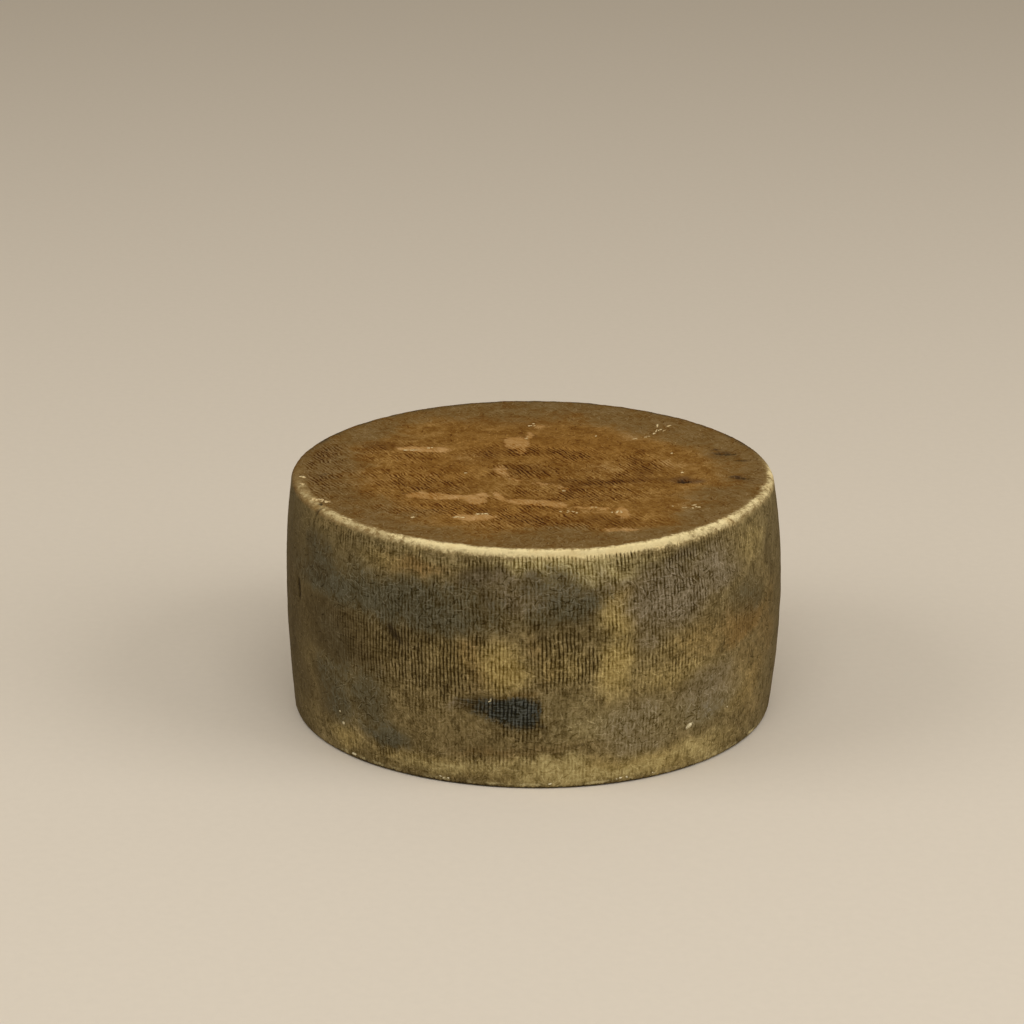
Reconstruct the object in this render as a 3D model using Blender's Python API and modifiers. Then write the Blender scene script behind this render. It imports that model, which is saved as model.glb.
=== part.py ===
"""Builds a whole wheel of aged sheep cheese: one pressed drum with a swollen side and a dry, uneven rind.

Run it with: blender --background --python part.py
Lengths are in metres and +Z is up. The wheel rests on z = 0, and the origin is the middle of its base.
An azimuth is measured round the wheel from its front, -Y, and grows towards +X.
"""

import math

import bmesh
import bpy
from mathutils import Matrix, Vector

# Driving sizes of the pressed drum
WIDEST_DIAMETER = 0.200
TOP_DIAMETER = 0.1929
BASE_DIAMETER = 0.1936
HEIGHT = 0.0972
WIDEST_HEIGHT = 0.54 * HEIGHT
TOP_EDGE_RADIUS = 0.0028
BASE_EDGE_RADIUS = 0.0016

# How fine the turned surface is
SEGMENTS = 96
SIDE_STEPS = 14
EDGE_STEPS = 3
TOP_STEPS = 7
BASE_STEPS = 3
MERGE_DISTANCE = 0.0001

# What months on the shelf have done to the drum
TOP_DISH = 0.0008
BULGE_LEAN = 0.0007
# Lobes round the side: how many, how deep, and the azimuth in degrees where the first one stands out
SIDE_LOBES = ((2, 0.00035, 55), (3, 0.00028, 170), (5, 0.00016, 20))
# Swells across the top: wavelength, half height, and the direction in degrees from +X that they travel in
TOP_SWELLS = ((0.120, 0.00034, 35), (0.074, 0.00026, 110), (0.047, 0.00018, 160))
RIM_STEADINESS = 0.8

# Dents in the side: name, azimuth in degrees, height, then half width, half length and depth, and a lean in degrees
SIDE_DENTS = (
    ("rim_nick", -63.8, HEIGHT - 0.0006, 0.0013, 0.0022, 0.0020, 8),
    ("shelf_slit", -68.2, 0.0618, 0.0016, 0.0034, 0.0011, -12),
    ("gas_hole", -9.7, 0.0377, 0.0013, 0.0013, 0.0009, 0),
    ("flake_scar", 41.0, 0.0193, 0.0016, 0.0027, 0.0008, 35),
)
# Dents in the top: name, x, y, then half width, half length and depth, and the turn in degrees from +X
TOP_DENTS = (
    ("mite_pit", 0.0601, -0.0135, 0.0019, 0.0024, 0.0013, 5),
    ("long_crack", 0.0798, 0.0226, 0.0011, 0.0046, 0.0007, -6),
    ("short_crack", 0.0846, 0.0147, 0.0010, 0.0030, 0.0007, 4),
    ("low_crack", 0.0838, -0.0097, 0.0012, 0.0034, 0.0007, -14),
)
DENT_SEGMENTS = 12
DENT_RINGS = 8

RIND_COLOUR = (0.150, 0.107, 0.050, 1.0)
RIND_ROUGHNESS = 0.72


def clear_scene():
    """Removes every object that the scene starts with."""
    for obj in list(bpy.data.objects):
        bpy.data.objects.remove(obj, do_unlink=True)


def new_collection(name):
    """A new collection in the scene."""
    collection = bpy.data.collections.new(name)
    bpy.context.scene.collection.children.link(collection)
    return collection


def side_radius(height):
    """Radius of the swollen side: widest a little over half way up, and drawn in to both edges."""
    widest = WIDEST_DIAMETER / 2
    if height > WIDEST_HEIGHT:
        return widest - (widest - TOP_DIAMETER / 2) * ((height - WIDEST_HEIGHT) / (HEIGHT - WIDEST_HEIGHT)) ** 2
    return widest - (widest - BASE_DIAMETER / 2) * (1 - height / WIDEST_HEIGHT) ** 2


def edge_arc(centre_radius, centre_height, edge_radius, from_degrees, to_degrees):
    """(radius, height) points of a rounded edge, both ends included."""
    angles = [math.radians(from_degrees + (to_degrees - from_degrees) * i / EDGE_STEPS) for i in range(EDGE_STEPS + 1)]
    return [(centre_radius + edge_radius * math.cos(a), centre_height + edge_radius * math.sin(a)) for a in angles]


def drum_profile():
    """(radius, height) points from the middle of the top, over the edge and down the side, to the middle of the base."""
    top_low = HEIGHT - TOP_EDGE_RADIUS
    top_flat = side_radius(top_low) - TOP_EDGE_RADIUS
    base_flat = side_radius(BASE_EDGE_RADIUS) - BASE_EDGE_RADIUS
    top = [(top_flat * i / TOP_STEPS, HEIGHT) for i in range(TOP_STEPS)]
    top_edge = edge_arc(top_flat, top_low, TOP_EDGE_RADIUS, 90, 0)
    heights = [top_low + (BASE_EDGE_RADIUS - top_low) * i / SIDE_STEPS for i in range(1, SIDE_STEPS)]
    side = [(side_radius(height), height) for height in heights]
    base_edge = edge_arc(base_flat, BASE_EDGE_RADIUS, BASE_EDGE_RADIUS, 0, -90)
    base = [(base_flat * (1 - i / BASE_STEPS), 0.0) for i in range(1, BASE_STEPS + 1)]
    return top + top_edge + side + base_edge + base


def settled(point):
    """Where a point of the true drum has moved to: the side lobed and leaning a little, the top dished and swelling."""
    radius = math.hypot(point.x, point.y)
    share_up = point.z / HEIGHT
    share_out = radius / (WIDEST_DIAMETER / 2)
    azimuth = math.atan2(point.x, -point.y)
    outward = Vector((point.x, point.y, 0)) / max(radius, MERGE_DISTANCE)
    lobes = sum(depth * math.cos(count * (azimuth - math.radians(start))) for count, depth, start in SIDE_LOBES)
    moved = point + outward * lobes * share_out**2
    moved.x += BULGE_LEAN * 4 * share_up * (1 - share_up)
    swell = 0.0
    for length, half_height, direction in TOP_SWELLS:
        along = point.x * math.cos(math.radians(direction)) + point.y * math.sin(math.radians(direction))
        swell += half_height * math.sin(2 * math.pi * along / length)
    swell *= 1 - RIM_STEADINESS * share_out**2
    moved.z += share_up**4 * (swell - TOP_DISH * (1 - share_out**2))
    return moved


def turned_drum():
    """The drum as a mesh, turned from its profile."""
    profile = bpy.data.meshes.new("drum_profile")
    points = [(radius, 0, height) for radius, height in drum_profile()]
    profile.from_pydata(points, [(i, i + 1) for i in range(len(points) - 1)], [])
    lathe = bpy.data.objects.new("lathe", profile)
    bpy.context.scene.collection.objects.link(lathe)
    turn = lathe.modifiers.new("turn", "SCREW")
    turn.axis = "Z"
    turn.angle = math.tau
    turn.steps = turn.render_steps = SEGMENTS
    turn.use_merge_vertices = True
    turn.merge_threshold = MERGE_DISTANCE
    graph = bpy.context.evaluated_depsgraph_get()
    drum = bpy.data.meshes.new_from_object(lathe.evaluated_get(graph))
    bpy.data.objects.remove(lathe)
    bpy.data.meshes.remove(profile)
    return drum


def settle(mesh):
    """Moves each vertex to its settled place, and stands the mesh on z = 0 with its box centred on the origin."""
    shape = bmesh.new()
    shape.from_mesh(mesh)
    for vertex in shape.verts:
        vertex.co = settled(vertex.co)
    middle = [
        (min(v.co[axis] for v in shape.verts) + max(v.co[axis] for v in shape.verts)) / 2 for axis in range(2)
    ]
    floor = min(v.co.z for v in shape.verts)
    shift = Vector((-middle[0], -middle[1], -floor))
    bmesh.ops.translate(shape, verts=shape.verts, vec=shift)
    shape.to_mesh(mesh)
    shape.free()
    return shift


def dent_cutter(name, collection, centre, axes, half_sizes):
    """An ellipsoid that cuts one dent. Its axes are unit vectors, and its half sizes run along them."""
    mesh = bpy.data.meshes.new(name)
    shape = bmesh.new()
    bmesh.ops.create_uvsphere(shape, u_segments=DENT_SEGMENTS, v_segments=DENT_RINGS, radius=1)
    stretch = Matrix([axis * size for axis, size in zip(axes, half_sizes)]).transposed()
    bmesh.ops.transform(shape, verts=shape.verts, matrix=Matrix.Translation(centre) @ stretch.to_4x4())
    bmesh.ops.recalc_face_normals(shape, faces=shape.faces)
    shape.to_mesh(mesh)
    shape.free()
    cutter = bpy.data.objects.new(name, mesh)
    cutter.hide_render = True
    cutter.display_type = "WIRE"
    collection.objects.link(cutter)
    return cutter


def side_dent(collection, shift, name, azimuth, height, half_width, half_length, depth, lean):
    """A cutter on the side. Its long way runs up the wheel, turned by its lean."""
    around = math.radians(azimuth)
    outward = Vector((math.sin(around), -math.cos(around), 0))
    sideways = Vector((math.cos(around), math.sin(around), 0))
    turn = Matrix.Rotation(math.radians(lean), 3, outward)
    centre = settled(outward * side_radius(height) + Vector((0, 0, height))) + shift
    axes = (turn @ sideways, turn @ Vector((0, 0, 1)), outward)
    return dent_cutter(name, collection, centre, axes, (half_width, half_length, depth))


def top_dent(collection, shift, name, x, y, half_width, half_length, depth, turn_degrees):
    """A cutter on the top. Its long way lies at a turn from +X."""
    turn = Matrix.Rotation(math.radians(turn_degrees), 3, "Z")
    centre = settled(Vector((x, y, HEIGHT))) + shift
    axes = (turn @ Vector((1, 0, 0)), turn @ Vector((0, 1, 0)), Vector((0, 0, 1)))
    return dent_cutter(name, collection, centre, axes, (half_length, half_width, depth))


def rind_material():
    """Dry brown rind under grey mould."""
    material = bpy.data.materials.new("aged_rind")
    material.use_nodes = True
    shader = material.node_tree.nodes["Principled BSDF"]
    shader.inputs["Base Color"].default_value = RIND_COLOUR
    shader.inputs["Roughness"].default_value = RIND_ROUGHNESS
    return material


def main():
    """Builds the wheel and cuts its dents."""
    clear_scene()
    cheese = new_collection("aged_sheep_cheese")
    cutters = new_collection("cutters")
    drum = turned_drum()
    shift = settle(drum)
    drum.shade_smooth()
    drum.set_sharp_from_angle(angle=math.radians(50))
    drum.materials.append(rind_material())
    wheel = bpy.data.objects.new("cheese_wheel", drum)
    cheese.objects.link(wheel)
    dents = [side_dent(cutters, shift, *dent) for dent in SIDE_DENTS]
    dents += [top_dent(cutters, shift, *dent) for dent in TOP_DENTS]
    for cutter in dents:
        cut = wheel.modifiers.new(cutter.name, "BOOLEAN")
        cut.operation = "DIFFERENCE"
        cut.solver = "EXACT"
        cut.object = cutter


main()
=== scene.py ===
"""Dresses a whole wheel of aged sheep cheese: a pressed drum with a ribbed, mould-grown and rubbed rind.

Lengths are in metres and +Z is up. The wheel stands on z = 0 and its front is -Y. Places on the wheel are
given in millimetres, as a viewer in front of it reads them. On the side they are the arc from the front,
growing to the right, and the height. On the top they are x and y.
"""

import logging
import math
from dataclasses import dataclass, field
from enum import Enum

import bpy
import numpy as np
from mathutils import Euler, Matrix, Vector
from mathutils.geometry import delaunay_2d_cdt


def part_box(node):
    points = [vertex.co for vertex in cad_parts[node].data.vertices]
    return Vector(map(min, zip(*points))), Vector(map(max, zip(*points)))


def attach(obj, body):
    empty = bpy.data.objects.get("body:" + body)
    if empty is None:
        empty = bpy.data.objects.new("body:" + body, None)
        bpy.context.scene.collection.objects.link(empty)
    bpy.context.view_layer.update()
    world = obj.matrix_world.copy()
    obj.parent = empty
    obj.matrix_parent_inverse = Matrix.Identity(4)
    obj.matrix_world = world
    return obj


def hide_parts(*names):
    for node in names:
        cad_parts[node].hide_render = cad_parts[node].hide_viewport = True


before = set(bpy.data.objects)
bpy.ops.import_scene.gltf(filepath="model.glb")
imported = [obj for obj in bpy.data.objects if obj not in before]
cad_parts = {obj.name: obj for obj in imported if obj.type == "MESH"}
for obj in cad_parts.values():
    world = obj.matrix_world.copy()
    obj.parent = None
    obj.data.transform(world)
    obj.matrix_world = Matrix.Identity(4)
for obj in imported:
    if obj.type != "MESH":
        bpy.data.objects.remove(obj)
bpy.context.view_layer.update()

LOG = logging.getLogger("aged_sheep_cheese")
MM = 0.001
SOLID = "cheese_wheel"
WEAVE_MAP = "weave"
BAKE_MAP = "OFBake"
# How much of the studio's red, green and blue light comes back from a white card on each face
SIDE_LIGHT = (0.64, 0.586, 0.545)
TOP_LIGHT = (0.92, 0.91, 0.98)
RIM_LIGHT = (0.89, 0.86, 0.80)
PLAIN_LIGHT = (1.0, 1.0, 1.0)
# The waves that an uneven outline is made of, and the share of its reach that each swings
WANDER_OCTAVES = 4
WANDER_WAVES = 5
WANDER_SWING = 0.45


def seen(red: int, green: int, blue: int, light: tuple = PLAIN_LIGHT) -> tuple[float, float, float, float]:
    """The pigment that shows as these screen bytes in the studio's light.

    Args:
        red: the red byte.
        green: the green byte.
        blue: the blue byte.
        light: the shares of red, green and blue that a white card would show there.

    Returns:
        Linear red, green and blue, and an alpha of 1.
    """
    shares = [byte / 255 for byte in (red, green, blue)]
    plain = [s / 12.92 if s <= 0.04045 else ((s + 0.055) / 1.055) ** 2.4 for s in shares]
    return (*[min(value / part, 0.95) for value, part in zip(plain, light)], 1.0)


def smooth(low: float, high: float, values: np.ndarray) -> np.ndarray:
    """Values eased from 0 at low to 1 at high."""
    share = np.clip((values - low) / (high - low), 0, 1)
    return share * share * (3 - 2 * share)


def wander(points: np.ndarray, size: float, reach: float, seed: int) -> np.ndarray:
    """A smooth, uneven shift for each point, the same for the same seed.

    Args:
        points: rows of x, y and z.
        size: length of the longest waves.
        reach: about how far points shift.
        seed: which shift.

    Returns:
        Rows of a shift across and a shift up.
    """
    chance = np.random.default_rng(seed)
    moved = np.zeros((len(points), 2))
    for octave in range(WANDER_OCTAVES):
        share = 0.5**octave
        for _ in range(WANDER_WAVES):
            wave = chance.normal(size=3)
            wave *= math.tau / (size * share * np.linalg.norm(wave))
            swing = chance.normal(size=2) * reach * share * WANDER_SWING
            moved += swing * np.sin(points @ wave + chance.uniform(0, math.tau))[:, None]
    return moved


def from_middle(places: np.ndarray, mark: "Patch | Dent") -> tuple[np.ndarray, np.ndarray]:
    """How far each place lies from a mark's middle, along its two ways.

    Args:
        places: rows of across, up and the face's number.
        mark: the mark, with its middle, half sizes and turn.

    Returns:
        The parts along and beside, each 1 at the mark's edge.
    """
    angle = math.radians(mark.turn)
    x, y = places[:, 0] - mark.across, places[:, 1] - mark.up
    along = (x * math.cos(angle) + y * math.sin(angle)) / mark.half_across
    beside = (y * math.cos(angle) - x * math.sin(angle)) / mark.half_up
    return along, beside


class Face(Enum):
    """A face of the wheel, by the number that marks its places."""

    SIDE = 0.0
    TOP = 1.0


class Coat(Enum):
    """What lies on the rind in places. Each is a number at each vertex, from 0 to about 1."""

    RIBS = "ribs"
    GREEN = "green_mould"
    LILAC = "lilac_mould"
    GOLD = "gold"
    STRAW = "straw"
    RUST = "rust"
    UMBER = "umber"
    INK = "ink_mould"
    ISLAND = "island"


# Coats whose patches keep close to their drawn outline
FIRM_COATS = (Coat.GOLD, Coat.INK, Coat.ISLAND)
SIDE, TOP = Face.SIDE, Face.TOP


@dataclass(frozen=True)
class Patch:
    """A soft-edged patch of one coat, in millimetres. A squareness above 2 fills out its corners."""

    coat: Coat
    face: Face
    across: float
    up: float
    half_across: float
    half_up: float
    strength: float = 1.0
    turn: float = 0.0
    softness: float = 0.8
    squareness: float = 2.0

    def share(self, places: np.ndarray) -> np.ndarray:
        """How much of the patch lies at each place.

        Args:
            places: rows of across, up and the face's number.

        Returns:
            A number from 0 to the patch's strength for each place.
        """
        along, beside = np.abs(from_middle(places, self))
        reach = (along**self.squareness + beside**self.squareness) ** (1 / self.squareness)
        inside = 1 - smooth(1 - self.softness, 1 + self.softness, reach)
        return inside * self.strength * (places[:, 2] == self.face.value)


def laid(coat: Coat, face: Face, *rows: tuple) -> list[Patch]:
    """Patches of one coat on one face, a row of numbers for each, in the order of a patch's own fields."""
    return [Patch(coat, face, *row) for row in rows]


# Each row: across, up, half across and half up. Then, where they aren't a patch's usual ones, strength, turn,
# softness and squareness
PATCHES = (
    # Where the lining's ribs are pressed deep
    *laid(
        Coat.RIBS, SIDE,
        (12, 91, 76, 5.5, 0.68, 0, 0.35, 4), (-78, 92, 20, 4, 0.5), (-48, 52, 34, 13, 1.25, 0, 0.5, 3),
        (-14, 52, 9, 12, 0.4), (12, 51, 17, 12, 1.1, 0, 0.5, 3), (31, 52, 8, 12, 0.5),
        (52, 53, 16, 12, 0.5, 0, 0.6, 3), (-38, 74, 30, 10, 0.55, 0, 0.6, 3),
        (16, 72, 30, 12, 0.6, 0, 0.6, 3), (60, 78, 20, 12, 0.55), (60, 90, 18, 4, 1.35, 0, 0.5, 3),
        (-7, 32, 11, 6, 0.95, 0, 0.5, 4), (-14, 13, 26, 7, 0.55, 0, 0.7), (38, 25, 16, 12, 0.3),
        (-56, 9, 26, 6, 0.35), (-36, 33, 24, 9, 0.4), (90, 56, 18, 12, 0.3), (36, 8, 40, 5, 0.2),
    ),
    *laid(
        Coat.RIBS, TOP,
        (-48, -12, 20, 20, 0.7), (-34, -46, 24, 9, 0.75), (-52, 24, 16, 12, 0.55), (2, 24, 26, 9, 0.85),
        (1, -2, 17, 8, 0.9), (8, -60, 30, 11, 0.85), (42, 4, 12, 18, 0.7), (-88, 24, 9, 24, 0.8),
        (-80, -14, 10, 18, 0.7), (14, -26, 30, 12, 0.75), (-4, -46, 12, 8, 0.8), (30, -14, 20, 6, 0.9),
    ),
    # Green-grey mould
    *laid(
        Coat.GREEN, SIDE,
        (-64, 72, 48, 9, 0.92, 0, 0.8, 2.6), (-100, 74, 20, 10, 0.5), (11, 76, 17, 11, 0.75),
        (-70, 28, 11, 13, 0.7, 14), (-64, 16, 11, 4.5, 0.8), (-88, 28, 12, 15, 0.6), (-90, 50, 12, 8, 0.25),
        (8, 30, 14, 8, 0.2), (98, 64, 14, 7, 0.35), (72, 24, 14, 6, 0.3), (-30, 72, 16, 9, 0.5),
    ),
    *laid(
        Coat.GREEN, TOP,
        (-82, 4, 12, 36, 0.85), (-64, -50, 14, 15, 0.8, -45), (-10, 80, 40, 13, 0.85),
        (52, 56, 20, 12, 0.9, -45), (82, 8, 11, 36, 0.65),
    ),
    # Lilac-grey mould
    *laid(
        Coat.LILAC, SIDE,
        (54, 77, 17, 13), (76, 80, 14, 9, 0.7), (36, 84, 18, 5, 0.5), (0, 82, 26, 6, 0.5),
        (38, 26, 16, 11, 0.6), (72, 32, 16, 11, 0.6), (-29, 34, 6, 5, 0.45), (-24, 82, 10, 7, 0.3),
        (44, 60, 8, 6, 0.5),
    ),
    *laid(
        Coat.LILAC, TOP,
        (18, 84, 26, 8, 0.5, -8), (61, -13, 6, 4.5, 0.4),
    ),
    # Gold, where the mould is thin
    *laid(
        Coat.GOLD, SIDE,
        (-12.5, 50.5, 8.5, 8.5, 0.9, 0, 0.95), (-30, 52, 14, 8, 0.3), (32, 71, 6, 10, 0.75, 0, 0.95, 2.4),
        (31, 50, 6.5, 11, 0.95, 0, 0.95, 2.4), (12, 51, 15, 8, 0.35), (58, 43, 22, 7, 0.45),
        (62, 53, 20, 8, 0.32, 0, 1.0), (104, 85, 11, 9, 0.35), (34, 7, 50, 5.5, 0.75, 0, 0.95, 3),
        (-32, 7, 40, 5, 0.45), (-84, 8, 10, 5, 0.5), (-64, 88, 10, 4, 0.35), (98, 26, 16, 12, 0.3),
        (-42, 32, 14, 9, 0.1),
    ),
    *laid(
        Coat.GOLD, TOP,
        (-56, 0, 14, 34, 0.2),
    ),
    # Straw, pale and dry
    *laid(
        Coat.STRAW, SIDE,
        (8, 93.5, 26, 3.2, 0.8, 0, 0.5, 3), (68, 7, 18, 5, 0.38, 0, 0.9, 2.6),
        (20, 6.5, 34, 4, 0.6, 0, 0.9, 2.6), (12, 90, 26, 4.5, 0.9), (-30, 6, 26, 4, 0.5),
        (40, 93, 14, 3, 0.4), (-46, 94, 24, 2, 0.3), (32, 26, 26, 11, 0.42), (70, 27, 16, 9, 0.35),
        (60, 88, 16, 4, 0.35),
    ),
    *laid(
        Coat.STRAW, TOP,
        (-22, 14, 6, 6, 0.45, 20), (28, 5, 8, 8, 0.4), (18, -46, 8, 3, 0.5), (56, 10, 8, 5, 0.6, 20),
        (58, -45, 8, 3, 0.5), (1.5, 61, 5, 5, 0.5, 40), (53, 54, 10, 4, 0.75, 62), (45, 42, 5, 5, 0.6),
    ),
    # Rust brown
    *laid(
        Coat.RUST, SIDE,
        (-50, 89, 15, 5, 0.6), (95, 54, 17, 8, 0.95), (70, 55, 18, 7, 0.4), (31, 76, 7, 7, 0.5),
        (-84, 53, 22, 10, 0.15), (-23, 52, 7, 9, 0.45), (2, 52, 4, 9, 0.3), (-112, 24, 20, 16, 0.12),
        (4, 15, 26, 4, 0.3), (-20, 17, 14, 3, 0.4), (104, 30, 15, 16, 0.4), (118, 50, 12, 18, 0.45),
        (-98, 94, 16, 4, 0.3), (-7, 39.5, 9, 1.8, 0.55),
    ),
    *laid(
        Coat.RUST, TOP,
        (10, 34, 44, 24, 0.6), (-38, 10, 28, 22, 0.5), (-10, -44, 44, 18, 0.5),
    ),
    # Umber, dark brown. The tall patches at -135 and 141 across are painted shade, where the side turns away
    # at the left and right
    *laid(
        Coat.UMBER, SIDE,
        # The first patch is painted shade, where the side turns away at the far left
        (-135, 50, 30, 60, 0.85), (-118, 70, 14, 12, 0.6), (-94, 52, 26, 15, 0.95), (-85, 88, 18, 6, 0.35),
        (-104, 74, 18, 12, 0.95), (101, 66, 12, 8, 0.4), (-98, 24, 13, 14, 0.65),
        (-56, 59, 14, 4.5, 0.5, -30), (-60, 70, 22, 6, 0.35), (-19, 84, 9, 7, 0.95), (-19, 74, 5, 5, 0.4),
        (9, 65, 10, 5, 0.4), (5, 60.3, 2.6, 1, 0.8), (-1.8, 81.5, 1.4, 1.2, 0.9), (21, 74, 4, 8, 0.4),
        (58, 90, 22, 4, 0.65), (-63, 14, 10, 3, 0.45), (122, 78, 4, 14, 0.6), (18, 67, 9, 6, 0.5),
        # The first patch here is painted shade, where the side turns away at the far right
        (141, 50, 24, 60, 0.5, 0, 1.0), (-22, 19, 18, 3, 0.25), (-21, 9, 0.8, 4.5, 0.6),
        (2.2, 31, 1.4, 6, 0.6), (112, 58, 12, 30, 0.2), (96, 54, 12, 5, 0.3), (-21, 33, 9, 5, 0.8, -20),
    ),
    *laid(
        Coat.UMBER, TOP,
        (2, -1, 15, 6, 0.55), (34, -13, 30, 4, 0.75, 3), (2, -62, 12, 6, 0.5), (25, -58, 12, 7, 0.6),
        (2, 24, 22, 6, 0.45), (-14, 20, 5, 8, 0.5), (-5, 48, 5, 3, 0.7), (-62, 34, 9, 6, 0.8),
        (-18, -46, 5, 4, 0.6), (14, -23, 3, 8, 0.7), (-88, 24, 8, 20, 0.8), (-86, -9, 6, 6, 0.9),
        (-77, -29, 7, 3, 0.9, -14), (-60, -60, 12, 3, 0.6, -35), (-46, -14, 22, 8, 0.35),
        (45, 2, 5, 14, 0.6, 14), (20, -30, 22, 4, 0.4), (12, -70, 8, 5, 0.5), (60, -12.5, 5.5, 5, 0.9),
        (79, 22, 7, 6, 0.9), (83, -8, 6, 4, 0.8), (92, 14, 3, 12, 0.6), (-8, 66, 30, 7, 0.4),
        (20, 91, 40, 3, 0.7), (-40, 86, 24, 3, 0.6), (-70, -37, 7, 2.2, 0.8, -16),
        (-73, -50, 3, 6, 0.7, 30),
    ),
    # The blue-black patch, slanted at its lower left, and the pit and cracks in the top
    *laid(
        Coat.INK, SIDE,
        (-8, 32.3, 9, 5.4, 1.15, 0, 0.6, 3.4), (-19.5, 33.2, 8, 4.8, 0.62, -20, 0.6),
        (-27, 36, 4.5, 2.2, 0.55, -10), (1.5, 28, 3.5, 1.6, 0.5, -40),
    ),
    *laid(
        Coat.INK, TOP,
        (60, -13.2, 2.6, 2.4, 0.66), (79, 23.5, 5.5, 3, 0.5, -8, 0.9), (75, 28.5, 3, 1.6, 0.5, -6, 0.9),
        (81.5, -7.5, 3.8, 2.6, 0.62, -10, 0.9), (85, 14.5, 3.4, 1.8, 0.5, 0, 0.9),
        (-87, 27, 4, 6, 0.36, 60, 0.9), (-83, -6, 4, 3, 0.45, 0, 0.9),
    ),
    # Smooth pale islands on the top
    *laid(
        Coat.ISLAND, TOP,
        (-42.5, 29.5, 9.5, 3.4, 1, -5, 0.55, 2.6), (-51, 30.5, 5, 2, 1, -3, 0.5),
        (-6.5, 37, 4.6, 8.5, 0.95, 0, 0.6, 3), (-4.5, 26, 2.2, 4, 0.9, 8, 0.6),
        (-1.5, 47, 1.5, 5, 0.85, 0, 0.6), (-11.5, 0, 3.2, 7, 0.66, 6, 0.7),
        (-6.5, -9, 4.6, 1.7, 0.62, -38, 0.7), (3, -13.5, 6.5, 1.5, 0.58, -24, 0.7),
        (11.5, -19, 4.2, 1.7, 0.62, -40, 0.7), (-39, -28.7, 9.5, 3.8, 1.15, -4, 0.6, 2.6),
        (-27, -30, 6, 3, 1, -8, 0.6), (-20, -28, 3, 2.4, 0.85, 0, 0.7),
        (-22, -35.5, 3.4, 5, 0.95, -18, 0.6), (-13.5, -29, 1.9, 5.5, 0.85, 8, 0.6),
        (0, -37.2, 11.5, 3.6, 0.95, -13, 0.55, 3), (9, -41, 4.4, 2.6, 0.85, -8, 0.6),
        (-22, -57, 9, 3.8, 0.95, 5, 0.6, 2.6), (23, -44.5, 12.5, 1.5, 0.8, -4, 0.7),
        (34, -50, 2.6, 6.5, 0.9, 4, 0.6), (33, -70.5, 9, 3.2, 0.6, 3, 0.7), (3, 60, 3.5, 4, 0.5),
        (-43, -1.5, 4, 2.2, 0.5),
    ),
)


@dataclass(frozen=True)
class Dent:
    """A dent pressed or broken into the rind, in millimetres, with a turn in degrees."""

    face: Face
    across: float
    up: float
    half_across: float
    half_up: float
    depth: float
    turn: float = 0.0
    darkness: float = 1.0

    def depths(self, places: np.ndarray) -> np.ndarray:
        """How deep this dent is pressed in.

        Args:
            places: rows of across, up and the face's number.

        Returns:
            Millimetres of depth at each place.
        """
        along, beside = from_middle(places, self)
        inside = np.clip(1 - along**2 - beside**2, 0, 1)
        return np.sqrt(inside) * self.depth * (places[:, 2] == self.face.value)


DENTS = {
    "rim_nick": Dent(SIDE, -105.6, 96.2, 1.2, 2.2, 1.3, -20, 0.75),
    "nick_tail": Dent(TOP, -82.6, -42.6, 0.9, 3.4, 0.7, 0, 0.9),
    "shelf_slit": Dent(SIDE, -119.0, 60.8, 1.6, 4.6, 1.0, 14, 1.8),
    "slash": Dent(SIDE, -57.5, 59.0, 1.6, 5.6, 0.4, 42, 0.8),
    "gas_hole": Dent(SIDE, -16.9, 37.7, 1.3, 1.3, 0.7, darkness=0.4),
    "flake_scar": Dent(SIDE, 66.5, 19.2, 1.6, 2.7, 0.7, -60, 0.0),
    "mite_pit": Dent(TOP, 60.1, -13.5, 2.4, 1.9, 1.1, 5, 0.8),
    "long_crack": Dent(TOP, 79.8, 22.6, 4.6, 1.1, 0.6, -6, 1.0),
    "short_crack": Dent(TOP, 84.6, 14.7, 3.0, 1.0, 0.6, 4, 0.7),
    "low_crack": Dent(TOP, 83.8, -9.7, 3.4, 1.2, 0.6, -14, 0.75),
}


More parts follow.
